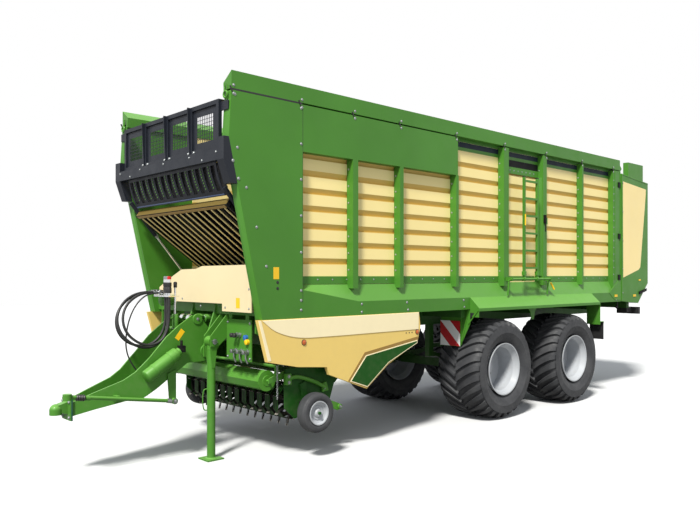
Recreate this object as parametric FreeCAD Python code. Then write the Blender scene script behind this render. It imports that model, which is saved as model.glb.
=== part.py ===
import FreeCAD, Part
import math
import os
from FreeCAD import Vector

# Frame: X forward to the drawbar, Y to the left, Z up; the ground is Z = 0.
# All sizes are in millimetres.

# ---- Driving dimensions: body ------------------------------------------
BODY_HALF = 1195.0          # outer face of stakes, rails and sills
BODY_TOP = 3980.0           # top of the side rails
FRAME_TOP = 1530.0          # underside of sills and load floor
SLAT_RECESS = 95.0          # slats lie this far inside the stakes
SLAT_WALL = 40.0            # thickness of the slatted wall
PANEL_WALL = 120.0          # thickness of the smooth front panels
FRONT_BOTTOM_X = 3503.0     # front edge of the side panel at the sill
FRONT_KNEE_X = 3900.0       # its furthest forward point
FRONT_TOP_X = 3870.0
KNEE_Z = 3330.0
PANEL_REAR_X = 2980.0       # seam between smooth panel and slats
POST_REAR_X = -4113.0       # rear face of the rear posts
POST_FRONT_X = -3847.0
STAKES = ((2174.0, 2255.0), (1419.0, 1480.0), (362.0, 415.0),
          (-766.0, -648.0), (-1755.0, -1658.0), (-2847.0, -2805.0))
STAKE_FLARE = 8.0           # a stake's root reaches this much further forward
STAKE_FOOT_Z = 1835.0
SILL_CREASE = 158.0         # height of the sill's upright face
SILL_TOP = 355.0            # height of the sill's sloped top edge
CREASE_RISE = 140.0         # the crease climbs this much towards the front
CREASE_REAR_X = 2167.0
RAIL_FACE = 175.0           # height of the top rail's outer face
RAIL_WIDTH = 143.0
RAIL_DIP = 97.0             # fall of the rail's top towards the inside
RAIL_SKIRT = 215.0          # from the top down to the inner skirt's edge
RAIL_GAP = 18.0             # open joint under the rail's outer face
STRIP_REAR_X = 378.0        # smooth strip over the front bays
STRIP_LOW_Z = 3290.0
STRIP_BAYS = 3              # stakes that end under the strip
SLAT_PITCH = 190.0
SLAT_FLAT = 125.0
GROOVE_DEEP = 24.0
SLATS = 9
SLAT_BASE = 450.0           # first slat above the frame top
FLOOR_THICK = 40.0
FLOOR_FRONT_X = 2165.0
FLOOR_REAR_X = -4640.0

# ---- Driving dimensions: door and ladder --------------------------------
DOOR_FRONT_X = -790.0
DOOR_REAR_X = -1565.0
DOOR_LOW = 370.0            # door opening's sill above the frame top
DOOR_HIGH = 1900.0          # its lintel above the frame top
DOOR_GAP = 6.0
HINGE_PIN_R = 5.0
HINGE_EYE_R = 10.0
HINGE_LONG = 60.0
HINGE_Z = (2050.0, 3250.0)
LADDER_FRONT_X = -1020.0
LADDER_REAR_X = -1355.0
LADDER_PIVOT_Z = 1930.0
LADDER_TOP_Z = 3400.0
LADDER_OUT = 85.0           # pivot tube's centre outside the stakes
LADDER_RUNGS = 6

# ---- Driving dimensions: running gear -----------------------------------
TYRE_D = 1380.0
TYRE_WIDE = 720.0
RIM_D = 720.0
TRACK_OUT = 1345.0          # outer face of the tyres
AXLE_X = (-500.0, -2370.0)
AXLE_BAR = 120.0
STUB_R = 60.0
FIT = 0.3                   # gap of a pin or stub in its bore
RUN_GAP = 5.0               # least gap between pieces that move past each other
KINGPIN_Y = 560.0
EAR_REACH = 38.0            # the fork's ears beyond the kingpin's line
KNUCKLE_HIGH = 268.0
RAIL_Y = 400.0              # centre of a chassis rail
CHASSIS_RAIL = (110.0, 240.0)
SPRING_WIDE = 80.0
LINK_LOW = 85.0             # links between springs and hangers, above the axle
LINK_HIGH = 150.0

# ---- Driving dimensions: tailgate ---------------------------------------
GATE_FRONT_X = -4153.0
GATE_REAR_X = -5170.0
GATE_WALL = 50.0
GATE_HINGE = (-4200.0, 3850.0)
GATE_TOP_FRONT_Z = 3759.0
GATE_TOP_REAR_Z = 3674.0
GATE_KNEE_Z = 1842.0
GATE_TOE = (-4780.0, 1484.0)

# ---- Driving dimensions: front ------------------------------------------
RAMP_PIVOT = (2680.0, 1950.0)
RAMP_LENGTH = 1340.0
RAMP_ANGLE = 35.7           # degrees above level at rest
RAMP_SIDE_GAP = 70.0        # from the ramp to the slatted wall, for the struts
STRUT_R = 25.0
STRUT_ROD_R = 14.0
STRUT_EYE_R = 30.0
STRUT_EYE_HALF = 15.0
STRUT_INSET = 35.0          # strut's centre line inside the slatted wall
STRUT_FOOT = (3060.0, 1920.0)
STRUT_AT = 1250.0           # the trunnion's place along the ramp
STRUT_TUBE = (-270.0, 230.0)  # the barrel's ends measured from the trunnion
TRUNNION_R = 12.0
BEAM_Z = (3110.0, 3220.0)
BEAM_X = (3880.0, 3960.0)
LIP = (3790.0, 2790.0)      # lower edge of the comb
COMB_SIDE_GAP = 26.0        # the comb's ends inside the ramp's sides
GRILLE_TOP = 3720.0
EAR_GAP = 5.0               # the grille's ears stand this far ahead of the panels
HOOD_X = (3050.0, 3560.0)
HOOD_RIGHT = -850.0         # the hood's right edge
HOOD_LOW = 70.0             # its lowest edge above the frame's top
HOOD_STEP_Y = 540.0         # where its lower edge steps down
HOOD_STEP = 80.0
HOOD_SHEET = 12.0
# the hood's top edge from right to left: place and height over its lowest edge
HOOD_TOP = ((-670.0, 320.0), (-320.0, 450.0), (0.0, 455.0), (130.0, 485.0))
HOOD_CORNER = (240.0, 490.0)  # height of its right corner and of its left corner

# ---- Driving dimensions: drawbar ----------------------------------------
BAR_PIVOT = (3555.0, 1150.0)
BAR_PIN = (3663.0, 1504.0)  # upper pin of the articulation cylinders
CYL_REAR = (3020.0, 1504.0)
CYL_Y = 70.0                # centre of each articulation cylinder
CYL_R = 42.0
CYL_LONG = 470.0            # from the rear pin to the barrel's mouth
CYL_ROD_R = 25.0
CYL_EYE_R = 48.0
BAR_PIN_R = 24.0
EYE_PLAY = 6.0              # the rod's eye is bored this much wider than its pin
BAR_HALF = 205.0            # outer face of the drawbar's plates at the rear
BAR_NOSE_HALF = 85.0
BAR_PLATE = 20.0
BALL = (5110.0, 665.0)
BALL_R = 60.0
BALL_BORE_R = 40.3
ROD_FRONT = (5095.0, 820.0)
ROD_REAR = (3967.0, 650.0)
ROD_Y = 250.0
ROD_R = 19.0
LEG_X = 3608.0
LEG_Y = 400.0
LEG_PIVOT_Z = 1270.0
LEG_R = 45.0
LEG_BOSS = 50.0             # half the boss's length along its pin

# ---- Driving dimensions: intake -----------------------------------------
ROTOR = (2560.0, 1250.0)
ROTOR_R = 350.0
TROUGH_R = 395.0
TROUGH_WALL = 25.0
SIDE_Y = (985.0, 1005.0)    # side plates of the rotor housing
ARM_Y = (1012.0, 1030.0)    # side plates and arms of the pick-up
REEL = (2880.0, 600.0)
REEL_R = 270.0
GUARD_R = 190.0
GUARD_THICK = 10.0
GUARD_WIDE = 90.0
GUARD_PITCH = 150.0
GUARDS = 12
PICKUP_PIVOT = (1900.0, 1300.0)
GAUGE = (2785.0, 505.0)
GAUGE_R = 215.0
GAUGE_Y = 1170.0
GAUGE_WIDE = 130.0
ROLLER = (3252.0, 865.0)
ROLLER_R = 110.0
ROLLER_HALF = 950.0
PRESS_PIVOT = (3040.0, 930.0)


# ---- Shape helpers -------------------------------------------------------
def box(x, y, z):
    """Box between two numbers on each axis."""
    low = Vector(min(x), min(y), min(z))
    return Part.makeBox(max(x) - low.x, max(y) - low.y, max(z) - low.z, low)


def side_plate(points, y):
    """Outline in X and Z, carried from y[0] to y[1]."""
    wire = Part.makePolygon([Vector(px, y[0], pz) for px, pz in points + points[:1]])
    return Part.Face(wire).extrude(Vector(0, y[1] - y[0], 0))


def cross_plate(points, x):
    """Outline in Y and Z, carried from x[0] to x[1]."""
    wire = Part.makePolygon([Vector(x[0], py, pz) for py, pz in points + points[:1]])
    return Part.Face(wire).extrude(Vector(x[1] - x[0], 0, 0))


def flat_plate(points, z):
    """Outline in X and Y, carried from z[0] to z[1]."""
    wire = Part.makePolygon([Vector(px, py, z[0]) for px, py in points + points[:1]])
    return Part.Face(wire).extrude(Vector(0, 0, z[1] - z[0]))


def rod(start, end, radius):
    """Round bar between two points."""
    a = Vector(*start)
    b = Vector(*end)
    return Part.makeCylinder(radius, (b - a).Length, a, b - a)


def pin_y(at, y, radius):
    """Round bar along Y at an (x, z) place."""
    return rod((at[0], min(y), at[1]), (at[0], max(y), at[1]), radius)


def join(shapes):
    """One solid of touching shapes."""
    result = shapes[0].fuse(shapes[1:]) if len(shapes) > 1 else shapes[0]
    return result.removeSplitter()


def other_side(shape):
    """The same shape on the other side of the wagon."""
    return shape.mirror(Vector(0, 0, 0), Vector(0, 1, 0))


def both_sides(shape):
    """A shape and its twin as two solids."""
    return [shape, other_side(shape)]


def polar(at, radius, degrees):
    """Point in X and Z at a radius and angle from a centre."""
    turn = math.radians(degrees)
    return (at[0] + radius * math.cos(turn), at[1] + radius * math.sin(turn))


def arc_band(at, inner, outer, start, end, y):
    """Curved plate about an axis along Y, between two angles in degrees."""
    def point(radius, degrees):
        px, pz = polar(at, radius, degrees)
        return Vector(px, y[0], pz)
    middle = (start + end) / 2
    wire = Part.Wire([
        Part.Arc(point(outer, start), point(outer, middle), point(outer, end)).toShape(),
        Part.LineSegment(point(outer, end), point(inner, end)).toShape(),
        Part.Arc(point(inner, end), point(inner, middle), point(inner, start)).toShape(),
        Part.LineSegment(point(inner, start), point(outer, start)).toShape()])
    return Part.Face(wire).extrude(Vector(0, y[1] - y[0], 0))


def turned_y(profile, at):
    """Solid of revolution about Y; the profile lists (y, radius) points."""
    wire = Part.makePolygon([Vector(at[0] + r, y, at[1]) for y, r in profile + profile[:1]])
    return Part.Face(wire).revolve(Vector(at[0], 0, at[1]), Vector(0, 1, 0), 360)


def save(name, shapes):
    """Write one named piece; it may hold several solids."""
    solids = []
    for shape in shapes:
        solids.extend(shape.Solids)
    shape = solids[0] if len(solids) == 1 else Part.makeCompound(solids)
    shape.exportStep(os.path.join("parts", name + ".step"))
    print(name, len(solids), round(sum(s.Volume for s in solids) / 1e6, 2), shape.isValid())


# ---- Body ----------------------------------------------------------------
SLAT_OUT = BODY_HALF - SLAT_RECESS
SLAT_IN = SLAT_OUT - SLAT_WALL
PANEL_IN = BODY_HALF - PANEL_WALL
CREASE_Z = FRAME_TOP + SILL_CREASE
SILL_TOP_Z = FRAME_TOP + SILL_TOP
RAIL_LOW = BODY_TOP - RAIL_FACE
SKIRT_LOW = BODY_TOP - RAIL_SKIRT
FACE_TOP = RAIL_LOW - RAIL_GAP
STRUT_Y = SLAT_IN - STRUT_INSET
DOOR_HINGE = (DOOR_FRONT_X - 12.0, SLAT_IN - 6.0)


def slat_section():
    """Corrugated wall in Y and Z, flats outside and grooves between."""
    points = [(SLAT_IN, SILL_TOP_Z), (SLAT_OUT, SILL_TOP_Z)]
    for index in range(SLATS):
        low = FRAME_TOP + SLAT_BASE + index * SLAT_PITCH
        high = low + SLAT_FLAT
        groove = SLAT_OUT - GROOVE_DEEP
        if index:
            points.append((SLAT_OUT, low))
        points.append((SLAT_OUT, high))
        if index < SLATS - 1:
            points.append((groove, high + 5))
    return points + [(SLAT_OUT, SKIRT_LOW), (SLAT_IN, SKIRT_LOW)]


def side_wall():
    return cross_plate(slat_section(), (POST_REAR_X, PANEL_REAR_X))


def door_opening(gap):
    """Block that the side door fills, smaller by the gap on each edge."""
    return box((DOOR_REAR_X + gap, DOOR_FRONT_X - gap), (SLAT_IN - 1, SLAT_OUT + 1),
               (FRAME_TOP + DOOR_LOW + gap, FRAME_TOP + DOOR_HIGH - gap))


def hinge_lug(z):
    """Lug on the wall with the upright pin of one door hinge."""
    hx, hy = DOOR_HINGE
    lug = box((hx, hx + 24), (hy - 6, hy + 2), (z, z + HINGE_LONG / 3))
    foot = box((hx + 13, hx + 24), (hy - 6, SLAT_IN), (z, z + HINGE_LONG / 3))
    return join([lug, foot, rod((hx, hy, z), (hx, hy, z + HINGE_LONG), HINGE_PIN_R)])


def side_door(wall):
    """Door cut from the slatted wall, with the eyes of its two hinges."""
    hx, hy = DOOR_HINGE
    pieces = [wall.common(door_opening(DOOR_GAP))]
    for z in HINGE_Z:
        pieces.append(rod((hx, hy, z + HINGE_LONG / 3 + FIT), (hx, hy, z + HINGE_LONG), HINGE_EYE_R))
    door = join(pieces)
    for z in HINGE_Z:
        door = door.cut(rod((hx, hy, z), (hx, hy, z + HINGE_LONG + 1), HINGE_PIN_R + FIT))
    return door


def ramp_stub():
    """Stub axle of the movable front wall on the left side wall."""
    return pin_y(RAMP_PIVOT, (SLAT_IN - 40, SLAT_IN), 18)


def front_panel():
    """Smooth panel with the strip over the front bays and the strut's foot boss."""
    points = [(PANEL_REAR_X, FRAME_TOP), (FRONT_BOTTOM_X, FRAME_TOP), (FRONT_KNEE_X, KNEE_Z),
              (FRONT_TOP_X, FACE_TOP), (PANEL_REAR_X, FACE_TOP)]
    panel = side_plate(points, (PANEL_IN, BODY_HALF))
    strip = box((STRIP_REAR_X, PANEL_REAR_X), (SLAT_OUT, BODY_HALF), (STRIP_LOW_Z, FACE_TOP))
    foot_boss = pin_y(STRUT_FOOT, (STRUT_Y + STRUT_EYE_HALF + RUN_GAP, PANEL_IN), STRUT_EYE_R - 4)
    return join([panel, strip, foot_boss]).cut(top_rail_bar())


def sill_section(x, crease):
    points = [(SLAT_IN, FRAME_TOP), (BODY_HALF, FRAME_TOP), (BODY_HALF, crease),
              (SLAT_OUT, SILL_TOP_Z), (SLAT_IN, SILL_TOP_Z)]
    return Part.makePolygon([Vector(x, py, pz) for py, pz in points + points[:1]])


def sill():
    """Sill whose crease is level at the rear and climbs at the front."""
    wires = [sill_section(POST_REAR_X, CREASE_Z), sill_section(CREASE_REAR_X, CREASE_Z),
             sill_section(PANEL_REAR_X, CREASE_Z + CREASE_RISE)]
    return Part.makeLoft(wires, True, True)


def stake(rear, front, top):
    """Upright stake with a sloped front flank, seated on the sill."""
    outline = [(rear, SLAT_OUT), (rear, BODY_HALF), (front, BODY_HALF),
               (front + STAKE_FLARE, SLAT_OUT)]
    return flat_plate(outline, (STAKE_FOOT_Z, top)).cut(sill())


def stakes():
    tops = [STRIP_LOW_Z] * STRIP_BAYS + [FACE_TOP] * (len(STAKES) - STRIP_BAYS)
    result = [stake(rear, front, top) for (rear, front), top in zip(STAKES, tops)]
    result.append(box((POST_REAR_X, POST_FRONT_X), (SLAT_OUT, BODY_HALF),
                      (CREASE_Z, FACE_TOP)).cut(sill()))
    return result


def top_rail_bar():
    """Folded rail section, from the front edge to the rear posts."""
    inner = BODY_HALF - RAIL_WIDTH
    points = [(BODY_HALF, RAIL_LOW), (BODY_HALF, BODY_TOP), (inner, BODY_TOP - RAIL_DIP),
              (inner, SKIRT_LOW), (SLAT_OUT, SKIRT_LOW), (SLAT_OUT, RAIL_LOW)]
    return cross_plate(points, (POST_REAR_X + 20, FRONT_TOP_X))


def top_rail():
    """Rail with the tailgate's hinge bracket and pin at its rear end."""
    hx, hz = GATE_HINGE
    bracket = side_plate([(POST_REAR_X + 40, RAIL_LOW), (POST_REAR_X + 40, RAIL_LOW + 140),
                          (hx, hz + 45), (hx - 45, hz), (hx, hz - 45)], (1128.0, 1150.0))
    return join([top_rail_bar(), bracket, pin_y(GATE_HINGE, (1096, 1130), 18)])


def make_body():
    wall = side_wall()
    left = [wall.cut(door_opening(0)), ramp_stub()] + [hinge_lug(z) for z in HINGE_Z]
    save("left_side_wall", [join(left)])
    save("right_side_wall", [other_side(join([wall, ramp_stub()]))])
    save("side_door", [side_door(wall)])
    save("front_panels", both_sides(front_panel()))
    save("sills", both_sides(sill()))
    save("left_stakes", stakes())
    save("right_stakes", [other_side(shape) for shape in stakes()])
    save("top_rails", both_sides(top_rail()))
    floor = box((FLOOR_REAR_X, FLOOR_FRONT_X), (-SLAT_IN, SLAT_IN),
                (FRAME_TOP, FRAME_TOP + FLOOR_THICK))
    save("load_floor", [floor])
    save("scraper_chains", [scraper()])


def scraper():
    """Floor conveyor: four chains with cross bars between each pair."""
    low = FRAME_TOP + FLOOR_THICK
    pieces = []
    for y in (-980, -110, 80, 950):
        pieces.append(box((FLOOR_REAR_X, FLOOR_FRONT_X - 20), (y, y + 30), (low, low + 22)))
    step = 340
    count = int((FLOOR_FRONT_X - FLOOR_REAR_X - 200) / step)
    for index in range(count + 1):
        x = FLOOR_REAR_X + 80 + index * step
        pieces.append(box((x, x + 40), (-980, -80), (low, low + 35)))
        pieces.append(box((x + step / 2, x + step / 2 + 40), (80, 980), (low, low + 35)))
    return join(pieces + [box((FLOOR_REAR_X + 40, FLOOR_REAR_X + 60), (-980, 980), (low, low + 20))])


# ---- Front wall ------------------------------------------------------------
RAMP_HALF = SLAT_IN - RAMP_SIDE_GAP


def on_ramp(along, normal):
    """Point in X and Z given along the ramp and square to it."""
    turn = math.radians(RAMP_ANGLE)
    return (RAMP_PIVOT[0] + along * math.cos(turn) - normal * math.sin(turn),
            RAMP_PIVOT[1] + along * math.sin(turn) + normal * math.cos(turn))


def ramp_bar(along, normal, y):
    """Straight bar of the ramp between two places each way."""
    corners = [on_ramp(along[0], normal[0]), on_ramp(along[1], normal[0]),
               on_ramp(along[1], normal[1]), on_ramp(along[0], normal[1])]
    return side_plate(corners, y)


def front_wall():
    """Ribbed ramp on its pivot tube, with a lip and two trunnion lugs."""
    trunnion = on_ramp(STRUT_AT, 0)
    pieces = [ramp_bar((20, RAMP_LENGTH), (0, 12), (-RAMP_HALF, RAMP_HALF)),
              ramp_bar((RAMP_LENGTH - 40, RAMP_LENGTH), (-55, 30), (-RAMP_HALF, RAMP_HALF)),
              pin_y(RAMP_PIVOT, (-SLAT_IN + 6, SLAT_IN - 6), 35)]
    spaces = 13
    step = (2 * RAMP_HALF - 60) / spaces
    for index in range(spaces + 1):
        y = -RAMP_HALF + 15 + index * step
        pieces.append(ramp_bar((25, RAMP_LENGTH - 30), (-45, 5), (y, y + 30)))
    for side in (-1, 1):
        pieces.append(pin_y(trunnion, (side * (RAMP_HALF - 25), side * RAMP_HALF), 38))
    wall = join(pieces)
    wall = wall.cut(pin_y(RAMP_PIVOT, (-SLAT_IN, SLAT_IN), 18 + FIT))
    return wall.cut(pin_y(trunnion, (-RAMP_HALF - 1, RAMP_HALF + 1), TRUNNION_R + FIT))


def strut_line():
    """Unit direction of the strut from its foot to the trunnion."""
    tx, tz = on_ramp(STRUT_AT, 0)
    length = math.hypot(tx - STRUT_FOOT[0], tz - STRUT_FOOT[1])
    return (tx - STRUT_FOOT[0]) / length, (tz - STRUT_FOOT[1]) / length


def strut_point(offset):
    """Point of the strut at an offset from the trunnion."""
    tx, tz = on_ramp(STRUT_AT, 0)
    dx, dz = strut_line()
    return (tx + dx * offset, STRUT_Y, tz + dz * offset)


def strut_tube():
    """Barrel with its trunnion pin, bored for the rod."""
    tube = rod(strut_point(STRUT_TUBE[0]), strut_point(STRUT_TUBE[1]), STRUT_R)
    stub = pin_y(on_ramp(STRUT_AT, 0), (RAMP_HALF - 20, STRUT_Y - 15), TRUNNION_R)
    bore = rod(strut_point(STRUT_TUBE[0] - 1), strut_point(STRUT_TUBE[1] - 20),
               STRUT_ROD_R + FIT)
    return join([tube, stub]).cut(bore)


def strut_rod():
    """Rod with the eye that stands on the wall's foot pin."""
    bar = rod((STRUT_FOOT[0], STRUT_Y, STRUT_FOOT[1]), strut_point(STRUT_TUBE[1] - 40),
              STRUT_ROD_R)
    eye = pin_y(STRUT_FOOT, (STRUT_Y - STRUT_EYE_HALF, STRUT_Y + STRUT_EYE_HALF), STRUT_EYE_R)
    return join([bar, eye]).cut(pin_y(STRUT_FOOT, (SLAT_IN - RAMP_SIDE_GAP, SLAT_IN), STRUT_ROD_R + FIT))


def front_beam():
    """Beam across the opening with plates that bolt to the side panels."""
    beam = box(BEAM_X, (-BODY_HALF, BODY_HALF), BEAM_Z)
    slope = (FRONT_KNEE_X - FRONT_BOTTOM_X) / (KNEE_Z - FRAME_TOP)
    low = BEAM_Z[0] - 230.0
    edge_low = FRONT_BOTTOM_X + (low - FRAME_TOP) * slope
    plate = side_plate([(edge_low, low), (FRONT_KNEE_X, KNEE_Z), (BEAM_X[1], KNEE_Z),
                        (BEAM_X[1], BEAM_Z[0]), (edge_low + 80, low)], (PANEL_IN, BODY_HALF))
    inside = side_plate([(FRONT_BOTTOM_X - 300, FRAME_TOP), (FRONT_BOTTOM_X, FRAME_TOP),
                         (FRONT_KNEE_X, KNEE_Z), (FRONT_TOP_X - 300, KNEE_Z)],
                        (-BODY_HALF, BODY_HALF))
    return join([beam, plate, other_side(plate)]).cut(inside)


def comb():
    """Curved slotted baffle that hangs from the beam."""
    thick = 10.0
    half = RAMP_HALF - COMB_SIDE_GAP
    top = (BEAM_X[0] + 25, BEAM_Z[0])
    middle = (BEAM_X[0] - 12, (BEAM_Z[0] + LIP[1]) / 2)

    def point(place, shift):
        return Vector(place[0] - shift, -half, place[1])
    wire = Part.Wire([
        Part.Arc(point(top, 0), point(middle, 0), point(LIP, 0)).toShape(),
        Part.LineSegment(point(LIP, 0), point(LIP, thick)).toShape(),
        Part.Arc(point(LIP, thick), point(middle, thick), point(top, thick)).toShape(),
        Part.LineSegment(point(top, thick), point(top, 0)).toShape()])
    sheet = Part.Face(wire).extrude(Vector(0, 2 * half, 0))
    slots = 13
    pitch = 2 * half / slots
    for index in range(slots):
        y = -half + (index + 0.5) * pitch
        sheet = sheet.cut(box((LIP[0] - 60, BEAM_X[0] + 60), (y - pitch * 0.25, y + pitch * 0.25),
                              (LIP[1] + 45, BEAM_Z[0] - 30)))
    return sheet


def grille():
    """Four framed bays above the beam, each with a thin sheet."""
    half = BODY_HALF - RAIL_WIDTH - 12
    x = (BEAM_X[0], BEAM_X[0] + 40)
    frame = box(x, (-half, half), (BEAM_Z[1], GRILLE_TOP))
    bays = 4
    bar = 45.0
    width = (2 * half - bar) / bays
    for index in range(bays):
        y = -half + bar + index * width
        window = (y, y + width - bar)
        height = (BEAM_Z[1] + bar, GRILLE_TOP - bar)
        frame = frame.cut(box((x[0] - 1, x[0] + 16), window, height))
        frame = frame.cut(box((x[0] + 24, x[1] + 1), window, height))
    return frame


def grille_ears():
    """Plates that carry the grille's upper corners from the side panels."""
    z = (GRILLE_TOP - 120, GRILLE_TOP - 30)
    inner = BODY_HALF - RAIL_WIDTH - 12
    front = BEAM_X[0] + EAR_GAP
    return box((front, front + 12), (inner, BODY_HALF - 20), z)


def hood():
    """Cover over the drive between the right side and the left strut, open below and behind."""
    left = STRUT_Y - STRUT_R - RUN_GAP
    low = FRAME_TOP + HOOD_LOW

    def outline(inset):
        top = [(y, low + height - inset) for y, height in HOOD_TOP]
        return [(HOOD_RIGHT + inset, low + HOOD_STEP),
                (HOOD_RIGHT + inset, low + HOOD_CORNER[0] - inset), *top,
                (left - inset, low + HOOD_CORNER[1] - inset), (left - inset, low),
                (HOOD_STEP_Y, low), (HOOD_STEP_Y, low + HOOD_STEP)]
    shell = cross_plate(outline(0), HOOD_X)
    inner = [(y, z - (HOOD_STEP if z < low + HOOD_STEP + 1 else 0))
             for y, z in outline(HOOD_SHEET)]
    shell = shell.cut(cross_plate(inner, (HOOD_X[0] - 1, HOOD_X[1] - HOOD_SHEET)))
    return shell.cut(head_beam()).cut(housing_plate())


def make_front():
    save("front_wall", [front_wall()])
    save("front_wall_barrels", both_sides(strut_tube()))
    save("front_wall_rods", both_sides(strut_rod()))
    save("front_beam", [front_beam()])
    save("comb_baffle", [comb()])
    save("front_grille", [join([grille(), grille_ears(), other_side(grille_ears())])])
    save("front_hood", [hood()])


# ---- Chassis -------------------------------------------------------------
RAIL_LOW_Z = FRAME_TOP - CHASSIS_RAIL[1]
RAIL_INSIDE = RAIL_Y - CHASSIS_RAIL[0] / 2
RAIL_OUTSIDE = RAIL_Y + CHASSIS_RAIL[0] / 2
CROSS_X = (1250.0, 200.0, -1435.0, -3200.0)
HEAD_X = (3330.0, 3450.0)   # front crossbeam
HEAD_Z = (FRAME_TOP + 30.0, FRAME_TOP + 160.0)
CHEEK_Y = (BAR_HALF + 20.0, BAR_HALF + 45.0)
CHEEK_REAR_X = CYL_REAR[0] - 60.0
HEAD_NOTCH = 20.0           # the head beam is this much thinner over the cylinders
AXLE_Z = TYRE_D / 2
BACK_BEAM_X = (FLOOR_FRONT_X - 125.0, FLOOR_FRONT_X - 25.0)
HANGERS = (30.0, -1435.0, -2850.0)
HOOD_THICK = 45.0
TAIL_LOW_Z = FRAME_TOP - 130.0


def head_beam():
    """Front crossbeam over the rotor housing."""
    return box(HEAD_X, (-PANEL_IN, PANEL_IN), HEAD_Z)


def housing_plate():
    """Side plate of the rotor housing, from the back beam to the head."""
    points = [(PICKUP_PIVOT[0] - 90, FRAME_TOP), (HEAD_X[0] - 40, FRAME_TOP),
              (HEAD_X[0] - 40, HEAD_Z[1]), (HEAD_X[1], HEAD_Z[1]),
              (HEAD_X[1], FRAME_TOP - 150), (ROTOR[0] + 420, ROTOR[1] - 100),
              (ROTOR[0] + 240, ROTOR[1] - 360), (ROTOR[0] - 160, ROTOR[1] - 400),
              (PICKUP_PIVOT[0] - 90, PICKUP_PIVOT[1] - 80)]
    plate = side_plate(points, SIDE_Y)
    plate = plate.cut(pin_y(ROTOR, SIDE_Y, 40 + FIT))
    pivot = pin_y(PICKUP_PIVOT, (SIDE_Y[1], ARM_Y[1] + 10), 30)
    return join([plate, pivot])


def cheek():
    """Plate of the drawbar's headstock with its pivot pins."""
    px, pz = BAR_PIVOT
    points = [(CHEEK_REAR_X, HEAD_Z[1]), (HEAD_X[1], HEAD_Z[1]), (HEAD_X[1] + 30, HEAD_Z[0]),
              (px + 50, pz + 60), (px + 50, pz - 60), (px - 70, pz - 60),
              (HEAD_X[0] - 40, FRAME_TOP - 150), (CHEEK_REAR_X, CYL_REAR[1] - 70)]
    pin = pin_y(BAR_PIVOT, (CHEEK_Y[0] - 55, CHEEK_Y[0]), 35)
    return join([side_plate(points, CHEEK_Y), pin])


def chassis():
    """Ladder frame: two rails and the crossbeams with their outriggers."""
    pieces = []
    for side in (-1, 1):
        rail = (side * RAIL_INSIDE, side * RAIL_OUTSIDE)
        pieces.append(box((FLOOR_REAR_X, BACK_BEAM_X[0]), rail, (RAIL_LOW_Z, FRAME_TOP)))
    for x in CROSS_X:
        pieces.append(box((x - 40, x + 40), (-BODY_HALF + 60, BODY_HALF - 60),
                          (FRAME_TOP - 110, FRAME_TOP)))
    tail_half = SLAT_OUT - 10
    pieces.append(box((FLOOR_REAR_X, FLOOR_REAR_X + 100), (-tail_half, tail_half),
                      (TAIL_LOW_Z, FRAME_TOP)))
    pieces.append(box(BACK_BEAM_X, (-SIDE_Y[0], SIDE_Y[0]), (RAIL_LOW_Z, FRAME_TOP)))
    return join(pieces)


def headstock():
    """Rotor side plates, head beam, drawbar cheeks with their pins, leg fork."""
    notch = box((HEAD_X[0] - 1, HEAD_X[1] + 1), (-CHEEK_Y[0], CHEEK_Y[0]),
                (HEAD_Z[0] - 1, HEAD_Z[0] + HEAD_NOTCH))
    pieces = [head_beam().cut(notch), leg_bracket(),
              pin_y(CYL_REAR, (-CHEEK_Y[0], CHEEK_Y[0]), CYL_ROD_R)]
    for shape in (housing_plate(), cheek()):
        pieces.extend([shape, other_side(shape)])
    return join(pieces)


def trough():
    """Curved floor under the rotor, up to the load floor, and the front sheet."""
    y = (-SIDE_Y[0], SIDE_Y[0])
    outer = TROUGH_R + TROUGH_WALL
    back = ROTOR[0] - TROUGH_R
    sheet = (CHEEK_REAR_X - 20, CHEEK_REAR_X)
    pieces = [arc_band(ROTOR, TROUGH_R, outer, -78, -180, y),
              box((back - TROUGH_WALL, back), y, (ROTOR[1], FRAME_TOP)),
              side_plate([(sheet[0], ROTOR[1] - 60), (sheet[1], ROTOR[1] - 60),
                          (sheet[1], FRAME_TOP + 20), (RAMP_PIVOT[0] + 70, RAMP_PIVOT[1] - 55),
                          (RAMP_PIVOT[0] + 40, RAMP_PIVOT[1] - 55), (sheet[0], FRAME_TOP)], y)]
    return pieces


def intake_rotor():
    """Shaft with star plates and stub ends."""
    shaft = pin_y(ROTOR, (-SIDE_Y[0] + 12, SIDE_Y[0] - 12), 110)
    ends = pin_y(ROTOR, (-SIDE_Y[1], SIDE_Y[1]), 40)
    pieces = [shaft, ends]
    stars = 12
    pitch = 2 * (SIDE_Y[0] - 60) / (stars - 1)
    for index in range(stars):
        y = -SIDE_Y[0] + 60 + index * pitch
        for arm in range(3):
            turn = arm * 120 + index * 20
            corners = [polar(ROTOR, 60, turn - 70), polar(ROTOR, ROTOR_R, turn - 6),
                       polar(ROTOR, ROTOR_R, turn + 4), polar(ROTOR, 60, turn + 70)]
            pieces.append(side_plate(corners, (y - 9, y + 9)))
    return join(pieces)


def coupling_panel():
    """Sheet that carries the couplings beside the headstock."""
    inner = LEG_Y + LEG_BOSS + 25
    sheet = cross_plate([(inner, 1512), (940, 1515), (940, 1080), (inner, 1080)],
                        (HEAD_X[1], HEAD_X[1] + 10))
    hanger = box((HEAD_X[1] - 20, HEAD_X[1]), (500, 560), (1400, HEAD_Z[0]))
    hanger_out = box((HEAD_X[1] - 20, HEAD_X[1]), (820, 880), (1400, HEAD_Z[0]))
    return join([sheet, hanger, hanger_out])


def gearbox():
    """Drive gearbox under the head with the input shaft's stub."""
    case = box((3150, 3390), (-560, -280), (1270, HEAD_Z[0]))
    return join([case, rod((3390, -420, 1400), (3480, -420, 1400), 60),
                 rod((3480, -420, 1400), (3580, -420, 1400), 22.5)])


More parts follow.
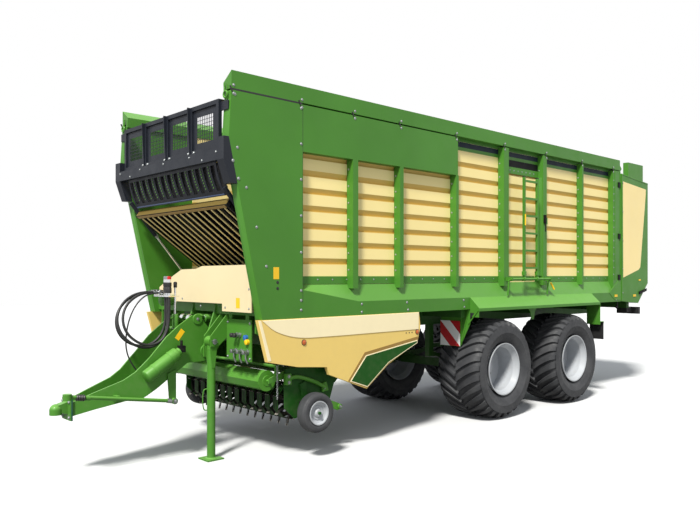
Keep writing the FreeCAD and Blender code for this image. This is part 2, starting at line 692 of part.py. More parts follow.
def side_hood():
    points = [(3560, FRAME_TOP), (1143, FRAME_TOP), (1115, 1349), (1171, 1164), (1685, 934),
              (2039, 683), (2337, 793), (2610, 895), (2643, 982), (3046, 1018), (3441, 1099)]
    return side_plate(points, (BODY_HALF - HOOD_THICK, BODY_HALF))


def make_chassis():
    save("chassis_frame", [chassis()])
    save("headstock", [headstock()])
    save("rotor_trough", [join(trough())])
    save("intake_rotor", [intake_rotor()])
    save("coupling_panel", [coupling_panel()])
    save("gearbox", [gearbox()])
    save("side_hoods", both_sides(side_hood()))


# ---- Running gear ----------------------------------------------------------
TYRE_IN = TRACK_OUT - TYRE_WIDE
SIDES = (("left", 1), ("right", -1))
AXLES = (("front", AXLE_X[0]), ("rear", AXLE_X[1]))
HUB_Y = (TYRE_IN + 255.0, TYRE_IN + 375.0)


def tyre(x):
    """Low, wide tyre with round shoulders, on the left."""
    r = TYRE_D / 2
    a = TYRE_IN
    b = TRACK_OUT
    profile = [(a + 30, RIM_D / 2), (a, RIM_D / 2 + 40), (a - 0, r - 190), (a + 14, r - 90),
               (a + 60, r - 35), (a + 170, r - 8), ((a + b) / 2, r), (b - 170, r - 8),
               (b - 60, r - 35), (b - 14, r - 90), (b, r - 190), (b, RIM_D / 2 + 40),
               (b - 30, RIM_D / 2)]
    return turned_y(profile, (x, AXLE_Z))


def rim(x):
    """Rim well, dish and bored hub with its cap, on the left."""
    r = RIM_D / 2
    a = TYRE_IN + 30
    b = TRACK_OUT - 30
    well = turned_y([(a, r), (a + 12, r - 2), (a + 70, r - 50), (b - 70, r - 50), (b - 12, r - 2),
                     (b, r), (b, r - 12), (b - 74, r - 62), (a + 74, r - 62), (a, r - 12)],
                    (x, AXLE_Z))
    dish = turned_y([(HUB_Y[0] + 60, 20), (HUB_Y[0] + 60, 150), (HUB_Y[0] + 110, r - 56),
                     (HUB_Y[0] + 122, r - 56), (HUB_Y[0] + 76, 150), (HUB_Y[0] + 76, 20)],
                    (x, AXLE_Z))
    hub = pin_y((x, AXLE_Z), HUB_Y, 115)
    cap = pin_y((x, AXLE_Z), (HUB_Y[1], HUB_Y[1] + 45), 85)
    bore = pin_y((x, AXLE_Z), (HUB_Y[0] - 1, HUB_Y[1] - 15), STUB_R + FIT)
    return join([well, dish, hub, cap]).cut(bore)


def stub_axle(x, inner):
    """Stub that carries the hub, on the left."""
    stub = pin_y((x, AXLE_Z), (inner, HUB_Y[1] - 25), STUB_R)
    flange = pin_y((x, AXLE_Z), (HUB_Y[0] - 45, HUB_Y[0] - 15), 110)
    return join([stub, flange])


def front_axle():
    half = AXLE_BAR / 2
    bar = box((AXLE_X[0] - half, AXLE_X[0] + half), (-TYRE_IN + 30, TYRE_IN - 30),
              (AXLE_Z - half, AXLE_Z + half))
    stub = stub_axle(AXLE_X[0], TYRE_IN - 40)
    return join([bar, stub, other_side(stub)])


def rear_axle():
    """Axle beam with a fork and kingpin at each end."""
    x = AXLE_X[1]
    half = AXLE_BAR / 2
    ear = KNUCKLE_HIGH / 2 + 6
    pieces = [box((x - half, x + half), (-KINGPIN_Y + 70, KINGPIN_Y - 70),
                  (AXLE_Z - half, AXLE_Z + half))]
    for side in (-1, 1):
        pieces.append(box((x - half, x + half), (side * (KINGPIN_Y - 90), side * (KINGPIN_Y - 70)),
                          (AXLE_Z - ear - 35, AXLE_Z + ear + 35)))
        for low in (AXLE_Z - ear - 35, AXLE_Z + ear):
            pieces.append(box((x - half, x + half),
                              (side * (KINGPIN_Y - 90), side * (KINGPIN_Y + EAR_REACH)),
                              (low, low + 35)))
        pieces.append(rod((x, side * KINGPIN_Y, AXLE_Z - ear - 10),
                          (x, side * KINGPIN_Y, AXLE_Z + ear + 10), 25))
    return join(pieces)


def knuckle():
    """Steering knuckle on the left kingpin."""
    x = AXLE_X[1]
    sleeve = rod((x, KINGPIN_Y, AXLE_Z - KNUCKLE_HIGH / 2), (x, KINGPIN_Y, AXLE_Z + KNUCKLE_HIGH / 2),
                 50)
    body = join([sleeve, stub_axle(x, KINGPIN_Y)])
    return body.cut(rod((x, KINGPIN_Y, 0), (x, KINGPIN_Y, TYRE_D), 25 + FIT))


def springs():
    """Leaf packs over the axles and the rocker between them, both sides."""
    y = (RAIL_Y - SPRING_WIDE / 2, RAIL_Y + SPRING_WIDE / 2)
    top = AXLE_Z + AXLE_BAR / 2
    pieces = []
    for x in AXLE_X:
        pack = side_plate([(x - 90, top), (x + 90, top), (x + 450, top + 90), (x + 450, top + 130),
                           (x + 90, top + 80), (x - 90, top + 80), (x - 450, top + 130),
                           (x - 450, top + 90)], y)
        pieces.append(pack)
    return pieces


def spring_ends():
    """Links between the springs' ends and the hangers, on the left."""
    y = (RAIL_Y - SPRING_WIDE / 2, RAIL_Y + SPRING_WIDE / 2)
    top = AXLE_Z + AXLE_BAR / 2
    low = top + LINK_LOW
    high = top + LINK_HIGH
    front = box((AXLE_X[0] + 430, HANGERS[0] + 45), y, (low, high))
    rocker = box((AXLE_X[1] + 430, AXLE_X[0] - 430), y, (low, high))
    back = box((AXLE_X[1] - 430, HANGERS[2] - 45), y, (low, high))
    hangers = [box((x - 45, x + 45), y, (low, RAIL_LOW_Z)) for x in HANGERS]
    return [front, rocker, back] + hangers


FENDER_X = (120.0, -3100.0)
FENDER_DROP = 141.0
FENDER_SHEET = 8.0


def fender():
    """Sloped sheet over the wheels with a turned edge and end flanks."""
    top = CREASE_Z
    edge = top - FENDER_DROP
    s = FENDER_SHEET
    section = [(BODY_HALF, top), (TRACK_OUT, edge), (TRACK_OUT, edge - 40),
               (TRACK_OUT - s, edge - 40), (TRACK_OUT - s, edge - s), (BODY_HALF, top - 2 * s)]
    sheet = cross_plate(section, FENDER_X)
    front = cross_plate([(BODY_HALF, top - 20), (TRACK_OUT - s, edge - 10), (TRACK_OUT - s, edge - 120),
                         (BODY_HALF, FRAME_TOP - 100)], (FENDER_X[0] - s, FENDER_X[0]))
    inner = cross_plate([(700, FRAME_TOP - 10), (BODY_HALF, FRAME_TOP - 10),
                         (BODY_HALF, FRAME_TOP - 190), (1030, 1020), (700, 1020)],
                        (FENDER_X[0] - s, FENDER_X[0]))
    back = cross_plate([(BODY_HALF, top - 20), (TRACK_OUT - s, edge - 10), (TRACK_OUT - s, 1180),
                        (1100, 1180), (1100, FRAME_TOP), (BODY_HALF, FRAME_TOP)],
                       (FENDER_X[1] - 30, FENDER_X[1] - 30 + s))
    link = box((FENDER_X[1] - 30, FENDER_X[1] + 5), (BODY_HALF, BODY_HALF + s), (FRAME_TOP, top - 15))
    return join([sheet, front, inner, back, link])


def make_gear():
    for axle_name, x in AXLES:
        for side_name, side in SIDES:
            for piece, shape in (("tyre", tyre(x)), ("rim", rim(x))):
                shape = shape if side > 0 else other_side(shape)
                save(piece + "_" + axle_name + "_" + side_name, [shape])
    save("front_axle", [front_axle()])
    save("rear_axle", [rear_axle()])
    save("left_knuckle", [knuckle()])
    save("right_knuckle", [other_side(knuckle())])
    left = springs() + spring_ends()
    save("suspension", both_sides(join(left)))
    save("fenders", both_sides(fender()))


# ---- Tailgate --------------------------------------------------------------
GATE_RAIL_X = (-4400.0, -4970.0)
LAMP_Z = (1290.0, 1410.0)


def gate_top(x):
    """Height of the tailgate side's sloped top edge."""
    share = (GATE_FRONT_X - x) / (GATE_FRONT_X - GATE_REAR_X)
    return GATE_TOP_FRONT_Z + share * (GATE_TOP_REAR_Z - GATE_TOP_FRONT_Z)


def gate_side():
    points = [(GATE_FRONT_X, GATE_TOP_FRONT_Z), (GATE_REAR_X, GATE_TOP_REAR_Z),
              (GATE_REAR_X, GATE_KNEE_Z), GATE_TOE, (GATE_FRONT_X, FRAME_TOP + 5)]
    panel = side_plate(points, (SLAT_OUT, BODY_HALF))
    a, b = GATE_RAIL_X
    rail = side_plate([(a, gate_top(a) - 5), (a, BODY_TOP), (b, BODY_TOP), (b, gate_top(b) - 5)],
                      (SLAT_OUT, BODY_HALF))
    hx, hz = GATE_HINGE
    ear = side_plate([(hx - 60, gate_top(hx - 60)), (hx + 30, gate_top(hx + 30)), (hx + 30, hz + 30),
                      (hx - 30, hz + 30)], (SLAT_OUT, SLAT_OUT + 20))
    return join([panel, rail, ear]).cut(pin_y(GATE_HINGE, (SLAT_OUT - 5, SLAT_OUT + 25), 18 + FIT))


def gate_panel():
    """Rear wall with its slanted foot."""
    w = GATE_WALL
    tx, tz = GATE_TOE
    points = [(GATE_REAR_X, GATE_TOP_REAR_Z), (GATE_REAR_X, GATE_KNEE_Z), (tx, tz),
              (tx + w * 0.7, tz + w * 0.75), (GATE_REAR_X + w, GATE_KNEE_Z + 22),
              (GATE_REAR_X + w, GATE_TOP_REAR_Z)]
    return side_plate(points, (-SLAT_OUT, SLAT_OUT))


def gate_crossbar():
    """Bar across the tailgate's upper rear edge."""
    return box((GATE_REAR_X, GATE_REAR_X + 90), (-SLAT_OUT, SLAT_OUT),
               (GATE_TOP_REAR_Z - 5, GATE_TOP_REAR_Z + 80))


def rear_lamps():
    lamp = box((GATE_TOE[0] - 90, GATE_TOE[0] - 20), (780, 1190), LAMP_Z)
    arm = box((GATE_TOE[0] - 20, FLOOR_REAR_X + 60), (1030, 1080), (LAMP_Z[0] + 20, TAIL_LOW_Z))
    return join([lamp, arm])


def make_tailgate():
    save("tailgate_panel", [join([gate_panel(), gate_crossbar()])])
    save("tailgate_sides", both_sides(gate_side()))
    save("rear_lamps", both_sides(rear_lamps()))


# ---- Ladder ------------------------------------------------------------------
def ladder():
    """Ladder stowed upright on its pivot tube."""
    y = BODY_HALF + LADDER_OUT
    pieces = []
    bar = 15.0
    for x in (LADDER_FRONT_X, LADDER_REAR_X):
        pieces.append(box((x - bar, x + bar), (y - 18, y + 18), (LADDER_PIVOT_Z, LADDER_TOP_Z)))
        pieces.append(rod((x - 22, y, LADDER_PIVOT_Z), (x + 22, y, LADDER_PIVOT_Z), 28))
    step = (LADDER_TOP_Z - LADDER_PIVOT_Z - 220) / (LADDER_RUNGS - 1)
    for index in range(LADDER_RUNGS):
        z = LADDER_PIVOT_Z + 160 + index * step
        pieces.append(box((LADDER_REAR_X, LADDER_FRONT_X), (y - 18, y + 18), (z - 14, z + 14)))
    bore = rod((LADDER_REAR_X - 40, y, LADDER_PIVOT_Z), (LADDER_FRONT_X + 40, y, LADDER_PIVOT_Z),
               16 + FIT)
    return join(pieces).cut(bore)


def ladder_tube():
    """Pivot tube on two brackets from the stakes beside the door."""
    y = BODY_HALF + LADDER_OUT
    rear = STAKES[4][1] - 60
    front = STAKES[3][0] + 60
    tube = rod((rear - 20, y, LADDER_PIVOT_Z), (front + 20, y, LADDER_PIVOT_Z), 16)
    pieces = [tube]
    for x in (rear, front):
        pieces.append(box((x - 8, x + 8), (BODY_HALF, y + 22),
                          (LADDER_PIVOT_Z - 28, LADDER_PIVOT_Z + 28)))
    latch = box((rear - 10, rear + 30), (BODY_HALF, BODY_HALF + 30), (2750, 2850))
    return [join(pieces), latch]


def make_ladder():
    save("ladder", [ladder()])
    save("ladder_pivot", ladder_tube())


# ---- Drawbar -----------------------------------------------------------------
NOSE_X = 4985.0
BAR_BEND_X = 4250.0
ACC_R = 70.0
COUPLERS = ((3955.0, 120.0), (3945.0, 60.0), (3935.0, 0.0))
GUIDES = ((4010.0, -60.0, 1800.0), (4020.0, -110.0, 1800.0), (4015.0, -158.0, 1800.0),
          (4010.0, -10.0, 1790.0))
LINE_END = (4190.0, 0.0, 880.0)
HOLDER_X = 3850.0
HOLDER_Y = 60.0
HOLDER_Z = 1750.0
CROSS_BAR_Z = 1400.0


def drawbar_outline():
    return [(3466, 1344), (3529, 1044), (3782, 1034), (4145, 793), (4288, 714), (4437, 703),
            (4772, 644), (NOSE_X, 600), (NOSE_X, 735), (4771, 814), (4492, 911), (4374, 983),
            (4212, 1136), (4036, 1325), (3892, 1439), (3725, 1548), (3640, 1540)]


def drawbar_side():
    """One cheek plate, parallel at the rear and drawn in to the nose."""
    plan = flat_plate([(3400, BAR_HALF), (BAR_BEND_X, BAR_HALF), (NOSE_X, BAR_NOSE_HALF),
                       (NOSE_X, BAR_NOSE_HALF - BAR_PLATE), (BAR_BEND_X, BAR_HALF - BAR_PLATE),
                       (3400, BAR_HALF - BAR_PLATE)], (500, 1600))
    plate = plan.common(side_plate(drawbar_outline(), (0, BAR_HALF + 10)))
    return plate


def drawbar_web():
    """Floor between the plates that follows their lower edge."""
    half = BAR_HALF - BAR_PLATE
    nose = BAR_NOSE_HALF - BAR_PLATE
    plan = flat_plate([(3700, half), (BAR_BEND_X, half), (NOSE_X, nose), (NOSE_X, -nose),
                       (BAR_BEND_X, -half), (3700, -half)], (500, 1600))
    strip = side_plate([(3800, 1024), (4150, 792), (4290, 716), (4440, 705), (4772, 646),
                        (NOSE_X, 602), (NOSE_X, 625), (4772, 669), (4440, 728), (4300, 738),
                        (4162, 812), (3812, 1045)], (-BAR_HALF, BAR_HALF))
    return plan.common(strip)


def cross_bar():
    """Round bar between the cheek plates that carries the hose holder."""
    return pin_y((HOLDER_X, CROSS_BAR_Z), (-BAR_HALF + 5, BAR_HALF - 5), 22)


def drawbar():
    """Two cheek plates, floor, nose block, pins and the rod's lever."""
    side = drawbar_side()
    nose = box((NOSE_X - 120, NOSE_X), (-BAR_NOSE_HALF + 10, BAR_NOSE_HALF - 10), (620, 725))
    pin = pin_y(BAR_PIN, (-BAR_HALF - 12, BAR_HALF + 12), BAR_PIN_R)
    lever = side_plate([(3930, 980), (4030, 940), (4005, 640), (3930, 620)],
                       (BAR_HALF + 2, BAR_HALF + 20))
    boss = pin_y((3975, 960), (BAR_HALF - 10, BAR_HALF + 5), 30)
    stay = box((4560, 4600), (ROD_Y - 130, ROD_Y - 4), (715, 770)).cut(steering_bar(ROD_R + FIT))
    fitting = rod((LINE_END[0] - 51, 0, LINE_END[2] - 60), LINE_END, 14)
    bar = join([side, other_side(side), drawbar_web(), nose, cross_bar(), pin, lever, boss, stay,
                fitting])
    return bar.cut(pin_y(BAR_PIVOT, (-BAR_HALF - 1, BAR_HALF + 1), 35 + FIT))


def accumulator():
    """Gas accumulator strapped to the left plate."""
    y = BAR_HALF + ACC_R + 2
    body = rod((3960, y, 1150), (4290, y, 942), ACC_R)
    neck = rod((3920, y, 1175), (3962, y, 1149), 45)
    pieces = [body, neck]
    for x, z in ((4040, 1100), (4200, 998)):
        pieces.append(box((x - 15, x + 15), (BAR_HALF, BAR_HALF + 20), (z - 25, z + 25)))
    return join(pieces)


def ball_coupling():
    """Bolted flange, neck and a socket that closes over a ball from above."""
    bx, bz = BALL
    flange = box((NOSE_X, NOSE_X + 25), (-105, 105), (560, 770))
    neck = side_plate([(NOSE_X + 25, 620), (NOSE_X + 25, 740), (bx - 10, bz + 50),
                       (bx - 10, bz - 20)], (-45, 45))
    dome = Part.makeSphere(BALL_R, Vector(bx, 0, bz))
    skirt = rod((bx, 0, bz - 45), (bx, 0, bz), BALL_R)
    ball = Part.makeSphere(BALL_BORE_R, Vector(bx, 0, bz))
    mouth = rod((bx, 0, bz - 60), (bx, 0, bz), BALL_BORE_R)
    below = box((bx - 100, bx + 100), (-100, 100), (bz - 200, bz - 45))
    return join([flange, neck, dome, skirt]).cut(ball).cut(mouth).cut(below)


def steering_bar(radius):
    """The steering rod's straight length at a given radius."""
    return rod((ROD_REAR[0], ROD_Y, ROD_REAR[1]), (ROD_FRONT[0] - 30, ROD_Y, ROD_FRONT[1]), radius)


def steering_rod():
    """Rod beside the drawbar with a ball socket in front and an eye behind."""
    bar = steering_bar(ROD_R)
    socket = rod((ROD_FRONT[0], ROD_Y, ROD_FRONT[1] - 30), (ROD_FRONT[0], ROD_Y, ROD_FRONT[1] + 30),
                 42)
    eye = pin_y(ROD_REAR, (BAR_HALF + 20, ROD_Y + 25), 32)
    hollow = rod((ROD_FRONT[0], ROD_Y, ROD_FRONT[1] - 40), (ROD_FRONT[0], ROD_Y, ROD_FRONT[1] + 5),
                 25.3)
    return join([bar, socket, eye]).cut(hollow)


def hose_holder():
    """Upright post with a cross plate that parks the hose couplers."""
    sleeve = rod((HOLDER_X, HOLDER_Y, CROSS_BAR_Z + 5), (HOLDER_X, HOLDER_Y, 1560), 32)
    sleeve = sleeve.cut(cross_bar())
    post = rod((HOLDER_X, HOLDER_Y, 1560), (HOLDER_X, HOLDER_Y, 1850), 13)
    grip = rod((HOLDER_X, HOLDER_Y, 1850), (HOLDER_X, HOLDER_Y, 1900), 17)
    plate = box((HOLDER_X, HOLDER_X + 130), (-180, 150), (HOLDER_Z, HOLDER_Z + 12))
    pieces = [sleeve, post, grip, plate]
    for x, y in COUPLERS:
        pieces.append(rod((x, y, HOLDER_Z), (x, y, HOLDER_Z + 190), 20))
    for x, y, z in GUIDES:
        pieces.append(rod((x - 70, y, z), (x, y, z), 22))
        pieces.append(rod((x - 40, y, HOLDER_Z), (x - 40, y, z), 12))
    return join(pieces)


def articulation_barrel():
    """Barrel of one articulation cylinder, hung on the rear pin."""
    mouth = CYL_REAR[0] + CYL_LONG
    z = CYL_REAR[1]
    tube = rod((CYL_REAR[0] + 20, CYL_Y, z), (mouth, CYL_Y, z), CYL_R)
    eye = pin_y(CYL_REAR, (CYL_Y - 35, CYL_Y + 35), CYL_EYE_R)
    bore = rod((CYL_REAR[0] + 60, CYL_Y, z), (mouth + 1, CYL_Y, z), CYL_ROD_R + FIT)
    return join([tube, eye]).cut(pin_y(CYL_REAR, (0, 2 * CYL_Y), CYL_ROD_R + FIT)).cut(bore)


def articulation_rod():
    """Rod of one articulation cylinder with its eye round the drawbar's pin."""
    z = BAR_PIN[1]
    bar = rod((CYL_REAR[0] + CYL_LONG - 140, CYL_Y, z), (BAR_PIN[0] - 30, CYL_Y, z), CYL_ROD_R)
    eye = pin_y(BAR_PIN, (CYL_Y - 30, CYL_Y + 30), CYL_EYE_R)
    return join([bar, eye]).cut(pin_y(BAR_PIN, (0, 2 * CYL_Y), BAR_PIN_R + EYE_PLAY))


def leg_bracket():
    """Fork beside the headstock that carries the parking leg."""
    gap = LEG_BOSS + 6
    pieces = []
    for y in (LEG_Y - gap - 12, LEG_Y + gap):
        pieces.append(side_plate([(HEAD_X[1] - 60, HEAD_Z[0]), (HEAD_X[1] + 0, HEAD_Z[0]),
                                  (LEG_X + 50, LEG_PIVOT_Z + 60), (LEG_X + 50, LEG_PIVOT_Z - 50),
                                  (LEG_X - 50, LEG_PIVOT_Z - 50), (HEAD_X[1] - 60, HEAD_Z[0] - 200)],
                                 (y, y + 12)))
    pin = pin_y((LEG_X, LEG_PIVOT_Z), (LEG_Y - gap - 14, LEG_Y + gap + 14), 20)
    back = box((HEAD_X[1] - 60, HEAD_X[1] - 48), (CHEEK_Y[1] - 5, LEG_Y + gap + 12),
               (HEAD_Z[0] - 200, HEAD_Z[0]))
    return join(pieces + [pin, back])


def support_leg():
    """Parking leg: boss, tube and square foot."""
    boss = pin_y((LEG_X, LEG_PIVOT_Z), (LEG_Y - LEG_BOSS, LEG_Y + LEG_BOSS), 58)
    tube = rod((LEG_X, LEG_Y, 10), (LEG_X, LEG_Y, LEG_PIVOT_Z - 36), LEG_R)
    foot = box((LEG_X - 100, LEG_X + 100), (LEG_Y - 100, LEG_Y + 100), (0, 15))
    return join([boss, tube, foot]).cut(pin_y((LEG_X, LEG_PIVOT_Z), (0, 900), 20 + FIT))


def make_drawbar():
    save("drawbar", [drawbar(), accumulator()])
    save("ball_coupling", [ball_coupling()])
    save("steering_rod", [steering_rod()])
    save("hose_holder", [hose_holder()])
    save("drawbar_barrels", both_sides(articulation_barrel()))
    save("drawbar_rods", both_sides(articulation_rod()))
    save("support_leg", [support_leg()])


# ---- Pick-up -------------------------------------------------------------------
REAR_TUBE = (2540.0, 600.0)


def guard(y):
    """D-shaped stripper band round the reel, closed at the rear tube."""
    def outline(radius):
        turns = (60, 20, -20, -60)
        points = [polar(REEL, radius, turn) for turn in (120, 90) + turns + (-90, -120)]
        return points

    def rear(inset):
        return [(REAR_TUBE[0] + 10, REAR_TUBE[1] - 25 + inset),
                (REAR_TUBE[0] + 10, REAR_TUBE[1] + 25 - inset)]
    outer = side_plate(outline(GUARD_R + GUARD_THICK) + rear(0), (y, y + GUARD_WIDE))
    inner = side_plate(outline(GUARD_R) + rear(8), (y - 1, y + GUARD_WIDE + 1))
    return outer.cut(inner)


def pickup_plate():
    """Left side plate with the arm to the pivot and the gauge wheel's arm."""
    px, pz = PICKUP_PIVOT
    points = [(px - 60, pz - 50), (px - 60, pz + 50), (px + 60, pz + 60), (2700, 1010),
              (PRESS_PIVOT[0] + 40, PRESS_PIVOT[1] + 50), (PRESS_PIVOT[0] + 60, PRESS_PIVOT[1] - 60),
              (3090, 560), (2960, 440), (REAR_TUBE[0] - 60, REAR_TUBE[1] - 60), (2400, 760)]
    plate = side_plate(points, ARM_Y)
    plate = plate.cut(pin_y(PICKUP_PIVOT, (ARM_Y[0] - 1, ARM_Y[1] + 1), 30 + FIT))
    plate = plate.cut(pin_y(REEL, (ARM_Y[0] - 1, ARM_Y[1] + 1), 22 + FIT))
    gx, gz = GAUGE
    arm = side_plate([(gx + 40, gz + 330), (gx + 120, gz + 300), (gx + 40, gz - 30),
                      (gx - 30, gz - 30)], (ARM_Y[1], ARM_Y[1] + 20))
    axle = pin_y(GAUGE, (ARM_Y[1] + 5, GAUGE_Y + GAUGE_WIDE / 2 + 15), 16)
    pin = pin_y(PRESS_PIVOT, (SIDE_Y[1] - 18, ARM_Y[0] + 5), 15)
    return join([plate, arm, axle, pin])


def pickup_frame():
    pieces = [pickup_plate(), other_side(pickup_plate()),
              pin_y(REAR_TUBE, (-ARM_Y[1], ARM_Y[1]), 45)]
    first = -(GUARDS - 1) / 2 * GUARD_PITCH - GUARD_WIDE / 2
    for index in range(GUARDS):
        pieces.append(guard(first + index * GUARD_PITCH))
    return join(pieces)


def pickup_reel():
    """Shaft with end discs, four tine bars and their tines."""
    half = ARM_Y[0] - 20
    pieces = [pin_y(REEL, (-half, half), 50), pin_y(REEL, (-ARM_Y[1], ARM_Y[1]), 22)]
    for y in (-half + 10, 0, half - 25):
        pieces.append(pin_y(REEL, (y - 7, y + 8), 165))
    for turn in (20, 110, 200, 290):
        at = polar(REEL, 145, turn)
        pieces.append(pin_y(at, (-half, half), 16))
        for index in range(GUARDS + 1):
            y = (index - GUARDS / 2) * GUARD_PITCH
            tip = polar(REEL, REEL_R, turn)
            pieces.append(rod((at[0], y, at[1]), (tip[0], y, tip[1]), 6))
    return join(pieces)


def gauge_wheel():
    a = GAUGE_Y - GAUGE_WIDE / 2
    b = GAUGE_Y + GAUGE_WIDE / 2
    profile = [(a, 30), (a, GAUGE_R - 30), (a + 25, GAUGE_R - 4), (GAUGE_Y, GAUGE_R),
               (b - 25, GAUGE_R - 4), (b, GAUGE_R - 30), (b, 30)]
    hub = pin_y(GAUGE, (a - 10, b + 10), 45)
    return join([turned_y(profile, GAUGE), hub]).cut(pin_y(GAUGE, (a - 20, b + 20), 16 + FIT))


def crop_press():
    """Arms ahead of the pick-up that carry the press roller."""
    px, pz = PRESS_PIVOT
    rx, rz = ROLLER
    y = (SIDE_Y[0] + 3, SIDE_Y[1] - 1)
    arm = side_plate([(px - 40, pz + 10), (px, pz + 40), (rx + 25, rz + 35), (rx + 35, rz - 20),
                      (px - 10, pz - 45)], y)
    arm = arm.cut(pin_y(PRESS_PIVOT, (y[0] - 5, y[1] + 5), 15 + FIT))
    axle = pin_y(ROLLER, (ROLLER_HALF - 30, y[0] + 5), 15)
    arm = join([arm, axle])
    tie = pin_y((rx - 75, rz + 150), (-y[1], y[1]), 18)
    strut = side_plate([(rx - 95, rz + 20), (rx - 95, rz + 165), (rx - 55, rz + 165),
                        (rx - 40, rz + 20)], y)
    return join([arm, other_side(arm), strut, other_side(strut), tie])


def press_roller():
    return pin_y(ROLLER, (-ROLLER_HALF, ROLLER_HALF), ROLLER_R).cut(
        pin_y(ROLLER, (-ROLLER_HALF - 1, ROLLER_HALF + 1), 15 + FIT))


def make_pickup():
    save("pickup_frame", [pickup_frame()])
    save("pickup_reel", [pickup_reel()])
    save("left_gauge_wheel", [gauge_wheel()])
    save("right_gauge_wheel", [other_side(gauge_wheel())])
    save("crop_press", [crop_press()])
    save("press_roller", [press_roller()])


# ---- Hoses ---------------------------------------------------------------------
def cord_tube(name, points, radius):
    """Tube along straight runs joined by tangent arcs."""
    runs = [Vector(*b) - Vector(*a) for a, b in zip(points, points[1:])]
    edges = []
    here = Vector(*points[0])
    tightest = 1e9
    for index in range(1, len(points) - 1):
        corner = Vector(*points[index])
        into = Vector(runs[index - 1]).normalize()
        away = Vector(runs[index]).normalize()
        half_turn = into.getAngle(away) / 2
        cut_back = 0.45 * min(runs[index - 1].Length, runs[index].Length)
        bend = cut_back / math.tan(half_turn)
        tightest = min(tightest, bend)
        start = corner - into * cut_back
        end = corner + away * cut_back
        bisector = (away - into).normalize()
        middle = corner + bisector * (bend / math.cos(half_turn) - bend)
        edges.append(Part.LineSegment(here, start).toShape())
        edges.append(Part.Arc(start, middle, end).toShape())
        here = end
    edges.append(Part.LineSegment(here, Vector(*points[-1])).toShape())
    path = Part.Wire(edges)
    first = Vector(*points[0])
    circle = Part.Wire(Part.makeCircle(radius, first, runs[0]))
    tube = path.makePipeShell([circle], True, True)
    expected = math.pi * radius * radius * path.Length
    print(name, "length", round(path.Length), "tightest radius", round(tightest),
          "volume ratio", round(tube.Volume / expected, 4))
    save(name, [tube])


HOSE_R = 14.0
LINE_R = 8.0
LOOPS = (
    [(4150, -60, 1800), (4290, -52, 1740), (4390, -32, 1640), (4430, 0, 1510), (4400, 30, 1380),
     (4300, 60, 1280), (4170, 85, 1235), (4050, 107, 1270), (3980, 118, 1370), (3957, 121, 1500),
     (3955, 120, 1630)],
    [(4170, -110, 1800), (4320, -95, 1745), (4430, -70, 1640), (4475, -40, 1505),
     (4440, -10, 1365), (4330, 18, 1255), (4190, 40, 1205), (4055, 55, 1235), (3970, 63, 1340),
     (3942, 63, 1475), (3945, 60, 1610)],
    [(4160, -158, 1800), (4300, -146, 1730), (4410, -124, 1630), (4460, -97, 1500),
     (4440, -72, 1370), (4350, -47, 1270), (4220, -27, 1225), (4090, -12, 1240),
     (3985, -3, 1330), (3938, 3, 1460), (3935, 0, 1600)])
LINE_ROUTE = [(4115, -10, 1790), (4220, -12, 1730), (4300, -15, 1625), (4350, -19, 1500),
              (4375, -23, 1370), (4380, -25, 1240), (4355, -20, 1120), (4300, -10, 1020),
              (4241, 0, 940)]


def make_hoses():
    for number, route in enumerate(LOOPS):
        x, y = COUPLERS[number]
        cord_tube("hose_" + str(number + 1), [GUIDES[number]] + route + [(x, y, HOLDER_Z)], HOSE_R)
    cord_tube("hose_4", [GUIDES[3]] + LINE_ROUTE + [LINE_END], LINE_R)


def main():
    os.makedirs("parts", exist_ok=True)
    make_body()
    make_front()
    make_chassis()
    make_gear()
    make_tailgate()
    make_ladder()
    make_drawbar()
    make_pickup()
    make_hoses()


main()
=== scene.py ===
"""Looks of a tandem-axle loader wagon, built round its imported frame.

Every piece is a surface worked out with numpy in metres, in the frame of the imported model:
X forward to the drawbar, Y to the left, Z up from the ground.
"""

import logging
import math
from dataclasses import dataclass
from enum import Enum
from functools import cache
from typing import Iterable, Sequence

import bpy
import numpy as np
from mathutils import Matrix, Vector


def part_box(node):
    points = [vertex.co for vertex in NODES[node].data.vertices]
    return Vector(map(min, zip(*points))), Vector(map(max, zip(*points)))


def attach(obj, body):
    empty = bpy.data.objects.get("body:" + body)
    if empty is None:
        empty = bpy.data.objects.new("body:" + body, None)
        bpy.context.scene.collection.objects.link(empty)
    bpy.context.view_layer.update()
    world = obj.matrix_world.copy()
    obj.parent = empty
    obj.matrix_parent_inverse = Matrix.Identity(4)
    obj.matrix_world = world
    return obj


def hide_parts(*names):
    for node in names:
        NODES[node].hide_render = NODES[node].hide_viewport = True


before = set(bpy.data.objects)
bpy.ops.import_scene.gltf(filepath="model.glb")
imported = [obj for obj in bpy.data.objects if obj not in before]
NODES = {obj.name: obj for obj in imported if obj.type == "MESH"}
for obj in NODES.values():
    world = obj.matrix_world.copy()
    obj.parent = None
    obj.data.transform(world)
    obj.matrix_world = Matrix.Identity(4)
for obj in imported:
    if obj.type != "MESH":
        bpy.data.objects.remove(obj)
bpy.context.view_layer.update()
LOG = logging.getLogger("loader_wagon")

Flat = tuple[float, float]
Point = tuple[float, float, float]
Colour = tuple[float, float, float]
Numbers = float | Sequence[float] | np.ndarray
Socket = bpy.types.NodeSocket
Value = Socket | Colour | float

# Outer face of the front panels, hoods, rear posts and tailgate, from the wagon's middle.
SIDE_FACE = 1.195
# How far a fitted plate reaches into the face behind it.
SKIN = 0.001
# A shape that is copied to many places is made here first.
ORIGIN = (0, 0, 0)


# ---- Shapes ----
class Plane(Enum):
    """Plane of a flat outline; the value lists its two axes and the axis it is carried along."""

    XZ = (0, 2, 1)
    YZ = (1, 2, 0)
    XY = (0, 1, 2)


